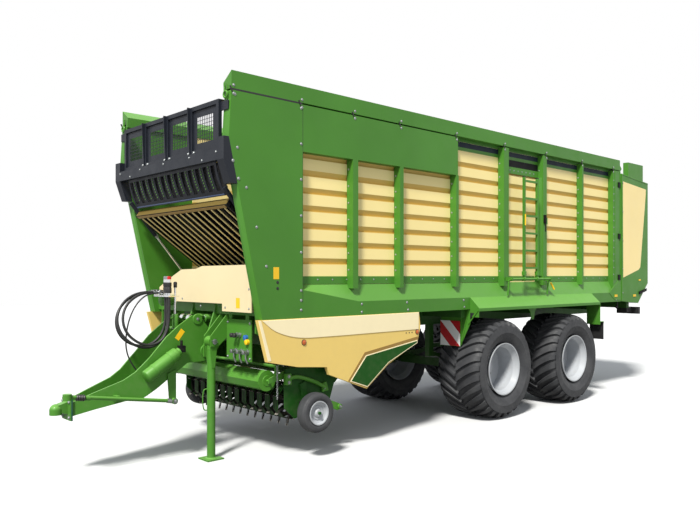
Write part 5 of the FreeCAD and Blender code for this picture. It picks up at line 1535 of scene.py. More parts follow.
@dataclass
class FrontOpening:
    """Bolts of the front beam, lip, backing and slits of the comb, and light bars under the ramp."""

    pivot: Flat = (2.680, 1.950)
    angle: float = 35.7
    length: float = 1.340
    backing: tuple[Flat, ...] = ((3.880, 3.108), (3.845, 2.955), (3.790, 2.870), (3.784, 2.803))
    lip_at: Flat = (3.787, 2.797)
    lip_half: float = 0.955
    beam_face: float = 3.960
    bar_count: int = 15
    slit_columns: int = 12

    def on_ramp(self, along: float, normal: float) -> Flat:
        """Turn a place on the ramp into the wagon's frame.

        Args:
            along: distance from the ramp's pivot along it.
            normal: distance square to it, upwards.

        Returns:
            The place's X and Z.
        """
        turn = math.radians(self.angle)
        return (self.pivot[0] + along * math.cos(turn) - normal * math.sin(turn),
                self.pivot[1] + along * math.sin(turn) + normal * math.cos(turn))

    def section(self, along: Flat, normal: Flat) -> list[Flat]:
        """Return the corners of a bar that lies along the ramp, between two distances each way."""
        return [self.on_ramp(place, height) for place, height in (
            (along[0], normal[0]), (along[1], normal[0]), (along[1], normal[1]), (along[0], normal[1]))]

    def build(self) -> None:
        """Make the parts round the opening."""
        x, z = self.lip_at
        lip = rod((x, -self.lip_half, z), (x, self.lip_half, z), 0.013)
        add_piece("comb_lip", lip, "blue_grey_enamel")
        inner = [(x - 0.004, z) for x, z in reversed(self.backing)]
        add_piece("comb_backing", prism([*self.backing, *inner], Plane.XZ, -1.000, 1.000), "black_plastic")
        heads = np.concatenate([places(self.beam_face, (-1.06, -0.55, 0.0, 0.55, 1.06), 3.190),
                                places(self.beam_face, (-0.8, 0.8), 3.135)])
        add_piece("beam_bolts", hex_bolts(heads, 0, 0.009), "zinc_plate")
        side = places((3.855, 3.790), SIDE_FACE, (3.10, 2.93))
        add_pair("beam_plate_bolts", dome_bolts(side, 1, 0.012), "zinc_plate")
        self._slits()
        self._ramp_bars()

    def _slits(self) -> None:
        """Set a row of small bright slits down every rib of the comb."""
        z = np.linspace(2.87, 3.07, 8)
        y = (np.arange(self.slit_columns) - 5.5) * (2 * 0.964 / 13)
        grid_y, grid_z = np.meshgrid(y, z, indexing="ij")
        x = 3.905 - 0.115 * ((3.110 - grid_z) / 0.32) ** 1.6 + 0.004
        slit = block((-0.003, -0.005, -0.008), (0.002, 0.005, 0.008))
        add_piece("comb_slits", slit.repeated(places(x, grid_y, grid_z)), "leaf_shade_enamel")

    def _ramp_bars(self) -> None:
        """Lay the light bars and the lip under the ramp; they swing with it."""
        under, long = self.ramp_underside(), self.length
        # The ramp's end is painted dark olive: painted shade under the ramp.
        end = self.section((long + 0.0002, long + 0.003), (0.030, under))
        add_piece("ramp_end", prism(end, Plane.XZ, -0.985, 0.985), "ramp_edge_shade_enamel", "front_wall")
        bar = prism(self.section((0.10, long - 0.05), (under, under - 0.010)), Plane.XZ, -0.007, 0.007)
        spots = places(0, np.linspace(-0.90, 0.90, self.bar_count), 0)
        add_piece("ramp_bars", bar.repeated(spots), "cream_enamel", "front_wall")
        # The lip is painted dark as painted shade under the ramp.
        lip = self.section((long - 0.040, long - 0.004), (under - 0.001, under - 0.013))
        add_piece("ramp_lip", prism(lip, Plane.XZ, -0.96, 0.96), "painted_shade_cream_enamel", "front_wall",
                  bevel=0.002)

    def ramp_underside(self) -> float:
        """Return the height of the ramp's lowest face over its pivot line, square to the ramp.

        A ray goes up square to the ramp from below its middle, between the ends of its bars.

        Returns:
            The height, negative below the pivot line.
        """
        turn = math.radians(self.angle)
        x, z = self.on_ramp(self.length * 0.55, -0.5)
        up = Vector((-math.sin(turn), 0, math.cos(turn)))
        heights = []
        for y in np.linspace(-0.5, 0.5, 41):
            hit, place, _, _ = NODES["front_wall"].ray_cast(Vector((x, y, z)), up)
            if hit:
                heights.append((place - Vector((x, y, z))).length - 0.5)
        return min(heights) if heights else -0.03


@dataclass
class StrutEnds:
    """Glands at the mouths of the front wall's struts."""

    y: float = 1.025
    mouth: Flat = (0.018, 0.021)
    eye: Flat = (0.030, 0.030)
    radius: float = 0.0235

    def build(self) -> None:
        """Make one gland for each strut, riding with its barrel."""
        barrel_low, _ = corners_of("front_wall_barrels")
        rod_low, _ = corners_of("front_wall_rods")
        mouth = np.array([barrel_low[0] + self.mouth[0], self.y, barrel_low[2] + self.mouth[1]])
        foot = np.array([rod_low[0] + self.eye[0], self.y, rod_low[2] + self.eye[1]])
        along = (mouth - foot) / np.linalg.norm(mouth - foot)
        bevel = 0.020
        gland = tube([mouth - along * 0.035, mouth - along * 0.033, mouth + along * 0.004,
                      mouth + along * 0.006], np.array([bevel, self.radius, self.radius, bevel]), 20)
        add_pair("strut_glands", gland, "zinc_plate", "front_wall_barrels")


@dataclass
class SideTrim:
    """Strips over and under the slats, the door's header, and the bolts of stakes and posts."""

    face: float = 1.100
    front: float = 0.378
    rear: float = -3.850
    door: Flat = (-0.768, -1.571)
    short_stakes: tuple[float, ...] = (2.255, 1.480, 0.415)
    tall_stakes: tuple[float, ...] = (-0.648, -1.658, -2.805)
    pitch: float = 0.190
    # Navy strip under the rail: painted shade with a painted sky reflection.
    rail_shade_strip: Flat = (3.692, 3.762)
    upper_strip: Flat = (3.648, 3.692)
    foot_strip: Flat = (1.886, 1.972)
    header: Flat = (3.452, 3.548)
    first_bolt: float = 2.042
    flank: Flat = (0.0055, 1.124)
    post_face: float = SIDE_FACE
    channel: tuple[Flat, ...] = ((-3.905, 3.780), (-3.900, 3.780), (-3.900, 1.900), (-3.905, 1.900))
    channel_wide: float = 0.190
    bracket_z: Point = (1.95, 2.66, 3.55)
    post_foot: tuple[Flat, ...] = ((-3.690, 1.688), (-4.110, 1.950), (-4.110, 1.560), (-3.900, 1.560))

    def build(self) -> None:
        """Make the strips, bolts and brackets of both sides."""
        self._strips()
        self._bolts()
        self._posts()

    def _band(self, ends: Flat, low: float, high: float, thick: float = 0.004) -> Shape:
        """Return a flat band on the slats' outer face, on both sides.

        Args:
            ends: its front and rear X.
            low: its lower edge.
            high: its upper edge.
            thick: how far it stands out.

        Returns:
            The two bands.
        """
        f = self.face + 0.0002
        return block((ends[1], f, low), (ends[0], f + thick, high)).both_sides()

    def _strips(self) -> None:
        """Lay the navy strip of painted shade and painted sky reflection under the rail, and the green
        strips along the wall.
        """
        whole = (self.front, self.rear)
        add_piece("rail_shade_strips", self._band(whole, *self.rail_shade_strip), "rail_shade_navy_enamel")
        add_piece("upper_strips", self._band(whole, *self.upper_strip, 0.007), "green_enamel",
                  bevel=0.001)
        f = self.face + 0.0002
        end = self.tall_stakes[1] + 0.0075
        header = block((end, f, self.header[0]), (self.door[0], f + 0.012, self.header[1]))
        add_piece("door_header", header, "green_enamel", bevel=0.002)
        # A black sheet fills the gap over the header as painted shade.
        over = block((end, f, self.header[1]), (self.door[0], f + 0.004, self.upper_strip[0]))
        add_piece("door_header_gap_shade", over, "black_enamel")
        wedge = prism([(end, f), (end + 0.050, f), (end, f + 0.076)], Plane.XY, 1.974, 3.450)
        add_piece("door_post", wedge, "green_enamel", bevel=0.001)
        low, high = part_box("side_door")
        foot = [self._band(ends, *self.foot_strip, 0.006)
                for ends in ((2.978, self.door[0] - 0.002), (self.door[1], self.rear))]
        add_piece("foot_strips", Shape.join(foot), "green_enamel", bevel=0.001)
        plate = block((low[0] + 0.004, f, low[2] + 0.004),
                      (high[0] - 0.004, f + 0.006, self.foot_strip[1]))
        add_piece("door_foot", plate, "green_enamel", "side_door", bevel=0.001)

    def _bolts(self) -> None:
        """Set a bolt for each slat on the stakes' front flanks, and rows along the strips."""
        z = self.first_bolt + np.arange(9) * self.pitch
        ahead, y = self.flank
        flank = np.concatenate([places(x + ahead, y, z[z < top])
                                for stakes, top in ((self.short_stakes, 3.40), (self.tall_stakes, 3.62))
                                for x in stakes])
        add_pair("stake_bolts", dome_bolts(flank, 0, 0.009), "zinc_plate")
        f = self.face + 0.006
        row = np.arange(self.rear + 0.10, 2.90, 0.215)
        clear = row[(row > self.door[0] + 0.03) | (row < self.door[1] - 0.03)]
        add_pair("foot_bolts", dome_bolts(places(clear, f, 1.935), 1, 0.007), "zinc_plate")
        heads = places(np.linspace(-1.53, -0.81, 8), self.face + 0.012, 3.500)
        add_piece("header_bolts", dome_bolts(heads, 1, 0.008), "zinc_plate")

    def _posts(self) -> None:
        """Add the bolted flange, the channel's brackets and the plate at each rear post's foot."""
        out = self.post_face
        heads = places(-3.866, out, np.arange(2.00, 3.72, 0.115))
        add_pair("post_bolts", dome_bolts(heads, 1, 0.009), "zinc_plate")
        channel = side_plate(self.channel, out, 0.008)
        other = channel.moved(x=-self.channel_wide)
        add_pair("post_channels", Shape.join([channel, other]), "light_green_enamel", bevel=0.001)
        bracket = block((-4.085, out - 0.001, -0.045), (-4.010, out + 0.016, 0.045))
        bands = bracket.repeated(places(0, 0, self.bracket_z))
        add_pair("post_brackets", bands, "black_enamel", bevel=0.003)
        foot = side_plate(self.post_foot, out, 0.006)
        add_pair("post_feet", foot, "light_green_enamel", bevel=0.001)
        lens = block((-3.975, out + 0.006, 1.612), (-3.885, out + 0.014, 1.652))
        add_pair("post_reflectors", lens, "yellow_film", bevel=0.002)


# ---- Drawbar end ----
@dataclass
class DrawbarTrim:
    """Accumulator, pin discs, sticker, steering rod's ends and coupling bolts of the drawbar."""

    half: float = 0.205
    tank_low: Point = (4.290, 0.277, 0.942)
    tank_high: Point = (3.960, 0.277, 1.150)
    tank_radius: float = 0.070
    tank_straps: Flat = (0.075, 0.290)
    pins: tuple[Point, ...] = ((3.663, 1.504, 0.058), (3.555, 1.150, 0.072))
    sticker_at: Flat = (3.875, 1.345)
    sticker_half: Flat = (0.060, 0.028)
    sticker_turn: float = -52.0
    rod_front: Point = (5.065, 0.250, 0.8155)
    rod_rear: Point = (3.967, 0.250, 0.650)
    boot_rings: int = 9

    def build(self) -> None:
        """Make the drawbar's small parts."""
        self._accumulator()
        self._pins()
        self._rods()
        self._coupling()

    def _accumulator(self) -> None:
        """Dome the accumulator's ends, whose skin is a quarter ellipse each, and add its fittings."""
        low, high = np.array(self.tank_low), np.array(self.tank_high)
        along = (low - high) / np.linalg.norm(low - high)
        bend = np.linspace(0, np.pi / 2, 7)
        length = float(np.linalg.norm(low - high))
        place = np.concatenate([-0.030 * np.cos(bend), length + 0.030 * np.sin(bend)])
        reach = np.concatenate([np.maximum(np.sin(bend), 0.62), np.maximum(np.cos(bend), 0.12)])
        skin = tube(high + place[:, None] * along, (self.tank_radius + 0.0015) * reach, 32)
        add_piece("accumulator_skin", skin, "green_enamel", "drawbar")
        straps = [tube([high + along * (t - 0.014), high + along * (t + 0.014)],
                       self.tank_radius + 0.005, 32) for t in self.tank_straps]
        seam = tube([high + along * 0.024, high + along * 0.030], self.tank_radius + 0.003, 32)
        add_piece("accumulator_straps", Shape.join([*straps, seam]), "green_enamel", "drawbar",
                  bevel=0.001)
        neck = tube([high - along * 0.075, high - along * 0.030], 0.030, 20)
        valve = block((3.865, 0.235, 1.165), (3.925, 0.315, 1.235))
        stub = rod((3.895, 0.275, 1.235), (3.895, 0.275, 1.290), 0.014)
        add_piece("accumulator_valve", Shape.join([neck, valve, stub]), "black_enamel", "drawbar",
                  bevel=0.002)

    def _pins(self) -> None:
        """Add pin discs, their locking bolts and the blank sticker."""
        discs = [turned([(0.0, radius), (0.010, radius), (0.013, radius - 0.004)],
                        (x, self.half, z), 1, 32) for x, z, radius in self.pins]
        add_pair("pin_discs", Shape.join(discs), "green_enamel", "drawbar")
        heads = np.concatenate([places(3.663, self.half + 0.011, 1.504),
                                places((3.530, 3.580), self.half + 0.011, 1.150)])
        add_pair("pin_bolts", hex_bolts(heads, 1, 0.014), "zinc_plate", "drawbar")
        wide, tall = self.sticker_half
        corners = np.array([(-wide, -tall), (wide, -tall), (wide, tall), (-wide, tall)])
        turn = math.radians(self.sticker_turn)
        leaning = corners @ np.array([[math.cos(turn), math.sin(turn)], [-math.sin(turn), math.cos(turn)]])
        sticker = side_plate(leaning + np.array(self.sticker_at), self.half, 0.0012)
        add_piece("drawbar_sticker", sticker, "yellow_film", "drawbar")

    def _rods(self) -> None:
        """Add the boot and clamp at the steering rod's front and the yoke at its rear."""
        front, rear = np.array(self.rod_front), np.array(self.rod_rear)
        along = (front - rear) / np.linalg.norm(front - rear)
        start = front - along * 0.140
        rings = np.arange(self.boot_rings)
        reach = 0.026 + 0.007 * (rings % 2)
        boot = tube(start + along * (rings * 0.011)[:, None], reach, 20)
        add_piece("rod_boot", boot, "hose_rubber", "drawbar")
        clamp = tube([start - along * 0.05, start - along * 0.012], 0.024, 20)
        add_piece("rod_clamp", clamp, "green_enamel", "drawbar")
        yoke = tube([rear + along * 0.035, rear + along * 0.085], np.array([0.027, 0.023]), 16)
        heads = hex_bolts(places(3.967, 0.276, 0.650), 1, 0.018)
        add_piece("rod_yoke", Shape.join([yoke, heads]), "zinc_plate", "drawbar")

    def _coupling(self) -> None:
        """Add the coupling flange's bolts and its plate."""
        grid_y, grid_z = np.meshgrid((-0.080, 0.080), (0.590, 0.740))
        heads = hex_bolts(places(5.010, grid_y, grid_z), 0, 0.014)
        add_piece("coupling_bolts", heads, "zinc_plate", "drawbar")
        plate = block((4.9845, -0.108, 0.557), (4.9995, 0.108, 0.773))
        add_piece("coupling_plate", plate, "dark_teal_enamel", "drawbar", bevel=0.003)


@dataclass
class HoseHolderTrim:
    """Grips, collars and caps of the parked hoses, and the sleeve of their post."""

    grip_z: float = 1.790
    cap_z: float = 1.938
    post: Point = (3.850, 0.060, 1.407)
    post_top: float = 1.848
    bottle_at: Point = (3.760, -0.130, 1.705)

    def build(self) -> None:
        """Make the holder's small parts at the ends of the three thick hoses."""
        at = np.array([hose.end for hose in HOSES[:3]])
        front = np.array([hose.start for hose in HOSES[:3]])
        grip = turned([(0.0, 0.0235), (0.010, 0.0255), (0.055, 0.0255), (0.062, 0.0225), (0.070, 0.0225),
                       (0.078, 0.0255), (0.110, 0.0255), (0.116, 0.021)], ORIGIN, 2, 20)
        add_piece("coupler_grips", grip.repeated(places(at[:, 0], at[:, 1], self.grip_z)), "black_plastic",
                  "drawbar")
        caps = turned([(0.0, 0.0215), (0.028, 0.0215), (0.034, 0.015)], ORIGIN, 2, 20)
        spots = places(at[:, 0], at[:, 1], self.cap_z)
        add_piece("coupler_cap_red", caps.repeated(spots[0]), "red_cap", "drawbar")
        add_piece("coupler_caps_silver", caps.repeated(spots[1:]), "zinc_plate", "drawbar")
        sleeve = turned([(0.0, 0.0235), (0.004, 0.026), (0.030, 0.026), (0.034, 0.0235)], ORIGIN, 0, 20)
        add_piece("guide_collars", sleeve.moved(x=-0.060).repeated(front), "zinc_plate", "drawbar")
        ferrule = turned([(0.0, 0.0165), (0.040, 0.0165), (0.044, 0.0155)], ORIGIN, 0, 16)
        add_piece("hose_ferrules", ferrule.moved(x=0.001).repeated(front), "zinc_plate", "drawbar")
        x, y, _ = self.post
        post = turned([(0.0, 0.0335), (0.150, 0.0335), (0.154, 0.031)], self.post, 2, 28)
        lever = rod((x, y, 1.500), (x + 0.050, y, 1.520), 0.008)
        add_piece("post_sleeve", Shape.join([post, lever]), "green_enamel", "drawbar")
        knob = turned([(0.0, 0.019), (0.045, 0.021), (0.058, 0.019), (0.064, 0.010)],
                      (x, y, self.post_top), 2, 20)
        add_piece("post_knob", knob, "black_plastic", "drawbar")
        bottle = turned([(0.0, 0.045), (0.012, 0.060), (0.150, 0.062), (0.166, 0.050), (0.172, 0.020)],
                        self.bottle_at, 0, 32)
        add_piece("holder_bottle", bottle, "green_enamel", "drawbar")


@dataclass
class SupportLegTrim:
    """Tapered gussets, handle and foot edge of the parking leg."""

    x: float = 3.608
    y: float = 0.400
    gusset_half: Flat = (0.044, 0.018)
    gusset_z: Flat = (1.215, 0.985)
    handle: tuple[Point, ...] = ((0.040, -0.010, 0.760), (0.075, -0.020, 0.750), (0.088, -0.024, 0.690),
                                 (0.088, -0.024, 0.600), (0.075, -0.020, 0.540), (0.040, -0.010, 0.530))

    def build(self) -> None:
        """Make the gussets and handle, which fold with the leg, and the cap of its pin."""
        x, y = self.x, self.y
        wide, narrow = self.gusset_half
        top, foot = self.gusset_z
        outline = [(x - wide, top), (x + wide, top), (x + narrow, foot), (x - narrow, foot)]
        gussets = [prism(outline, Plane.XZ, y + low, y + high)
                   for low, high in ((0.040, 0.049), (-0.049, -0.040))]
        collar = turned([(0.0, 0.0465), (0.025, 0.0465)], (x, y, 1.175), 2, 28)
        weld = turned([(0.0, 0.060), (0.010, 0.0475)], (x, y, 0.0145), 2, 28)
        add_piece("leg_gussets", Shape.join([*gussets, collar, weld]), "green_enamel",
                  "support_leg", bevel=0.001)
        line = smooth_line(np.array(self.handle) + np.array([x, y, 0]), 6)
        add_piece("leg_handle", tube(line, 0.006, 10), "green_enamel", "support_leg")
        cap = turned([(0.0, 0.030), (0.008, 0.030), (0.011, 0.024)], (x, y + 0.072, 1.270), 1, 20)
        clip = rod((x - 0.03, y + 0.086, 1.262), (x + 0.045, y + 0.086, 1.285), 0.004)
        add_piece("leg_pin_cap", Shape.join([cap, clip]), "zinc_plate")


@dataclass
class CouplingPanelTrim:
    """Hydraulic and air couplings on the panel ahead of the drive."""

    face: float = 3.460
    lower_y: Point = (0.66, 0.77, 0.88)
    upper_y: Flat = (0.68, 0.735)
    rows: Flat = (1.180, 1.350)
    pipe: tuple[Flat, ...] = ((0.030, 1.165), (0.032, 1.120), (0.018, 1.085), (0.005, 1.060))
    blue_at: Flat = (0.855, 1.330)
    yellow_at: Flat = (0.880, 1.285)

    def build(self) -> None:
        """Make the couplings, their caps and the pipes under them."""
        body = turned([(0.0, 0.026), (0.012, 0.026), (0.014, 0.019), (0.045, 0.019), (0.047, 0.022),
                       (0.070, 0.022), (0.074, 0.016)], ORIGIN, 0, 20)
        lower = places(self.face, self.lower_y, self.rows[0])
        upper = places(self.face, self.upper_y, self.rows[1])
        add_piece("panel_couplings", body.repeated(np.concatenate([lower, upper])), "zinc_plate")
        cap = turned([(0.060, 0.0245), (0.084, 0.0245), (0.090, 0.018)], ORIGIN, 0, 20)
        add_piece("coupling_caps_black", cap.repeated(upper), "black_plastic")
        base = turned([(0.0, 0.028), (0.030, 0.028), (0.034, 0.022)], ORIGIN, 0, 20)
        add_piece("coupling_cap_blue", base.repeated(places(self.face, *self.blue_at)), "blue_cap")
        add_piece("coupling_cap_yellow", base.repeated(places(self.face, *self.yellow_at)), "yellow_film")
        pipes = [tube(smooth_line([(self.face + out, y, z) for out, z in self.pipe], 5), 0.009, 12)
                 for y in self.lower_y]
        add_piece("panel_pipes", Shape.join(pipes), "zinc_plate")
        heads = places(self.face, (0.50, 0.50, 0.915, 0.915), (1.110, 1.480, 1.110, 1.480))
        add_piece("panel_bolts", hex_bolts(heads, 0, 0.011), "zinc_plate")


# ---- Pick-up ----
@dataclass
class PickupTrim:
    """Dense tines, roller facets, chain, lift arms and bolts of the pick-up."""

    reel: Flat = (2.880, 0.600)
    slot_pitch: float = 0.150
    slots: int = 6
    tine_gap: float = 0.017
    tine_rows: int = 8
    first_row: float = 20.0
    chain_links: int = 18
    chain_top: Point = (3.205, 1.045, 1.020)
    chain_step: float = 0.0195
    chain_hook: tuple[Point, ...] = ((3.130, 1.040, 1.030), (3.170, 1.045, 1.045), (3.203, 1.045, 1.033))
    arm: tuple[Point, ...] = ((3.075, 1.060, 0.880), (2.980, 1.068, 0.895), (2.860, 1.068, 0.870),
                              (2.700, 1.066, 0.810), (2.560, 1.060, 0.740))
    arm_lug: tuple[Flat, ...] = ((2.500, 0.700), (2.585, 0.690), (2.600, 0.780), (2.530, 0.800))
    arm_link: tuple[Flat, ...] = ((2.660, 0.660), (2.680, 0.600), (2.360, 0.455), (2.310, 0.470),
                                  (2.330, 0.530))
    arm_bolts: tuple[Point, ...] = ((3.075, 1.078, 0.845), (3.075, 1.078, 0.910), (2.560, 1.058, 0.735),
                                    (2.480, 1.052, 0.548), (2.335, 1.073, 0.497))

    def build(self) -> None:
        """Make the pick-up's small parts."""
        self._tines()
        self._roller()
        self._chain()
        self._arms()

    def _tines(self) -> None:
        """Set three spring tines in every slot of the stripper bands, in rows round the reel."""
        x, z = self.reel
        slot = np.arange(-self.slots, self.slots + 1) * self.slot_pitch
        y = (slot[:, None] + np.array([-self.tine_gap, 0.0, self.tine_gap])).ravel()
        rows, tips = [], []
        for row in range(self.tine_rows):
            angle = math.radians(self.first_row + row * 360 / self.tine_rows)
            out = np.array([math.cos(angle), 0, math.sin(angle)])
            side = np.array([-math.sin(angle), 0, math.cos(angle)])
            foot = np.array([x, 0, z])
            line = [foot + out * 0.130, foot + out * 0.200 + side * 0.006,
                    foot + out * 0.262 - side * 0.004]
            rows.append(tube(line, np.array([0.004, 0.0035, 0.003]), 6).repeated(places(0, y, 0)))
            end = [foot + out * 0.244, foot + out * 0.2675 - side * 0.005]
            tips.append(tube(end, 0.0034, 6).repeated(places(0, y, 0)))
        add_piece("reel_tines", Shape.join(rows), "black_enamel", "pickup_reel")
        add_piece("reel_tine_tips", Shape.join(tips), "worn_steel", "pickup_reel")

    def _roller(self) -> None:
        """Face the press roller with eight flat sides and cap its ends."""
        low, high = corners_of("press_roller")
        centre = (low + high) / 2
        radius = (high[2] - low[2]) / 2
        half = float(high[1]) - 0.03
        facets = turned([(-half, radius - 0.0005), (half, radius - 0.0005)], centre, 1, 8)
        discs = [turned([(at - 0.006, radius), (at + 0.006, radius)], centre, 1, 40)
                 for at in (-half, half)]
        rings = [turned([(at, 0.060), (at + side * 0.012, 0.055)], centre, 1, 28)
                 for at, side in ((half, 1), (-half, -1))]
        add_piece("press_roller_skin", Shape.join([facets, *discs, *rings]), "light_green_enamel",
                  "press_roller", ("press_roller",))

    def _chain(self) -> None:
        """Hang the depth chain at the pick-up's left end as alternate links."""
        bend = np.linspace(0, 2 * np.pi, 16)
        line = np.stack([0.0075 * np.cos(bend), np.zeros(16), 0.013 * np.sin(bend)], axis=1)
        link = tube(line, 0.0028, 6)
        other = link.turned(2, 90)
        x, y, top = self.chain_top
        z = top - np.arange(self.chain_links) * self.chain_step
        parts = [link.repeated(places(x, y, z[::2])), other.repeated(places(x, y, z[1::2]))]
        hook = tube(smooth_line(self.chain_hook, 5), 0.006, 8)
        add_piece("depth_chain", Shape.join([*parts, hook]), "zinc_plate", "pickup")

    def _arms(self) -> None:
        """Add the light-green gauge arms, their tubes, brackets and bolts on both ends."""
        pipe = tube(smooth_line(self.arm, 6), 0.022, 16)
        lug = prism(self.arm_lug, Plane.XZ, 1.034, 1.058)
        holder = block((3.040, 1.036, 0.820), (3.110, 1.078, 0.935))
        link = prism(self.arm_link, Plane.XZ, 1.034, 1.052)
        disc = turned([(0.0, 0.030), (0.018, 0.030), (0.021, 0.026)], (2.335, 1.052, 0.497), 1, 24)
        parts = Shape.join([pipe, lug, holder, link, disc])
        add_pair("gauge_arms", parts, "light_green_enamel", "pickup", bevel=0.002)
        heads = hex_bolts(np.array(self.arm_bolts), 1, 0.013)
        add_pair("gauge_arm_bolts", heads, "zinc_plate", "pickup")


# ---- Rear half ----
@dataclass
class FenderTrim:
    """Warning boards, brackets, mudflaps and bolts of the fenders."""

    front: float = 0.120
    rear: float = -3.130
    ribs: tuple[tuple[Flat, ...], ...] = (
        ((1.165, 1.520), (1.180, 1.520), (1.060, 1.060), (1.045, 1.060)),
        ((1.325, 1.520), (1.338, 1.520), (1.180, 1.335), (1.165, 1.335)))
    openings: tuple[tuple[Flat, ...], ...] = (((1.085, 1.180), (1.120, 1.290), (1.085, 1.300)),
                                              ((1.195, 1.400), (1.265, 1.480), (1.195, 1.485)))
    bracket: tuple[Flat, ...] = ((-1.300, 1.515), (-1.550, 1.515), (-1.490, 1.440), (-1.460, 1.330),
                                 (-1.400, 1.330), (-1.370, 1.440))
    flap_gap: float = 0.095
    flap_y: Flat = (1.100, 1.344)

    def build(self) -> None:
        """Make the fenders' small parts on both sides."""
        board = block((self.front + 0.004, 0.690, 1.025), (self.front + 0.010, 1.030, 1.365))
        add_pair("warning_boards", board, "striped_board")
        back = block((self.front + 0.001, 0.700, 1.035), (self.front + 0.005, 1.020, 1.355))
        add_pair("board_backs", back, "black_enamel")
        x = self.front
        ribs = [prism(outline, Plane.YZ, x, x + 0.014) for outline in self.ribs]
        ribs.append(block((x, 1.040, 1.052), (x + 0.014, 1.060, 1.500)))
        add_pair("fender_ribs", Shape.join(ribs), "light_green_enamel", bevel=0.001)
        # Black plates in the triangular openings stand for the shade inside them: painted shade.
        opening_shades = [prism(outline, Plane.YZ, x - 0.0005, x + 0.0015) for outline in self.openings]
        add_pair("fender_opening_shades", Shape.join(opening_shades), "black_plastic")
        bracket = prism(self.bracket, Plane.XZ, 1.150, 1.158)
        add_pair("fender_brackets", bracket, "light_green_enamel", bevel=0.001)
        back = self.rear - self.flap_gap
        inner, outer = self.flap_y
        flap = block((back, inner, 0.935), (back + 0.008, outer, 1.215))
        add_pair("mudflaps", flap, "hose_rubber", bevel=0.002)
        clamp = Shape.join([block((back - 0.008, inner, 1.195), (back, outer, 1.225)),
                            block((back - 0.008, inner, 1.222), (self.rear + 0.002, outer, 1.230))])
        add_pair("mudflap_clamps", clamp, "light_green_enamel", bevel=0.002)
        heads = hex_bolts(places(back - 0.008, (1.13, 1.22, 1.31), 1.209), 0, 0.010, -1.0)
        add_pair("mudflap_bolts", heads, "zinc_plate")


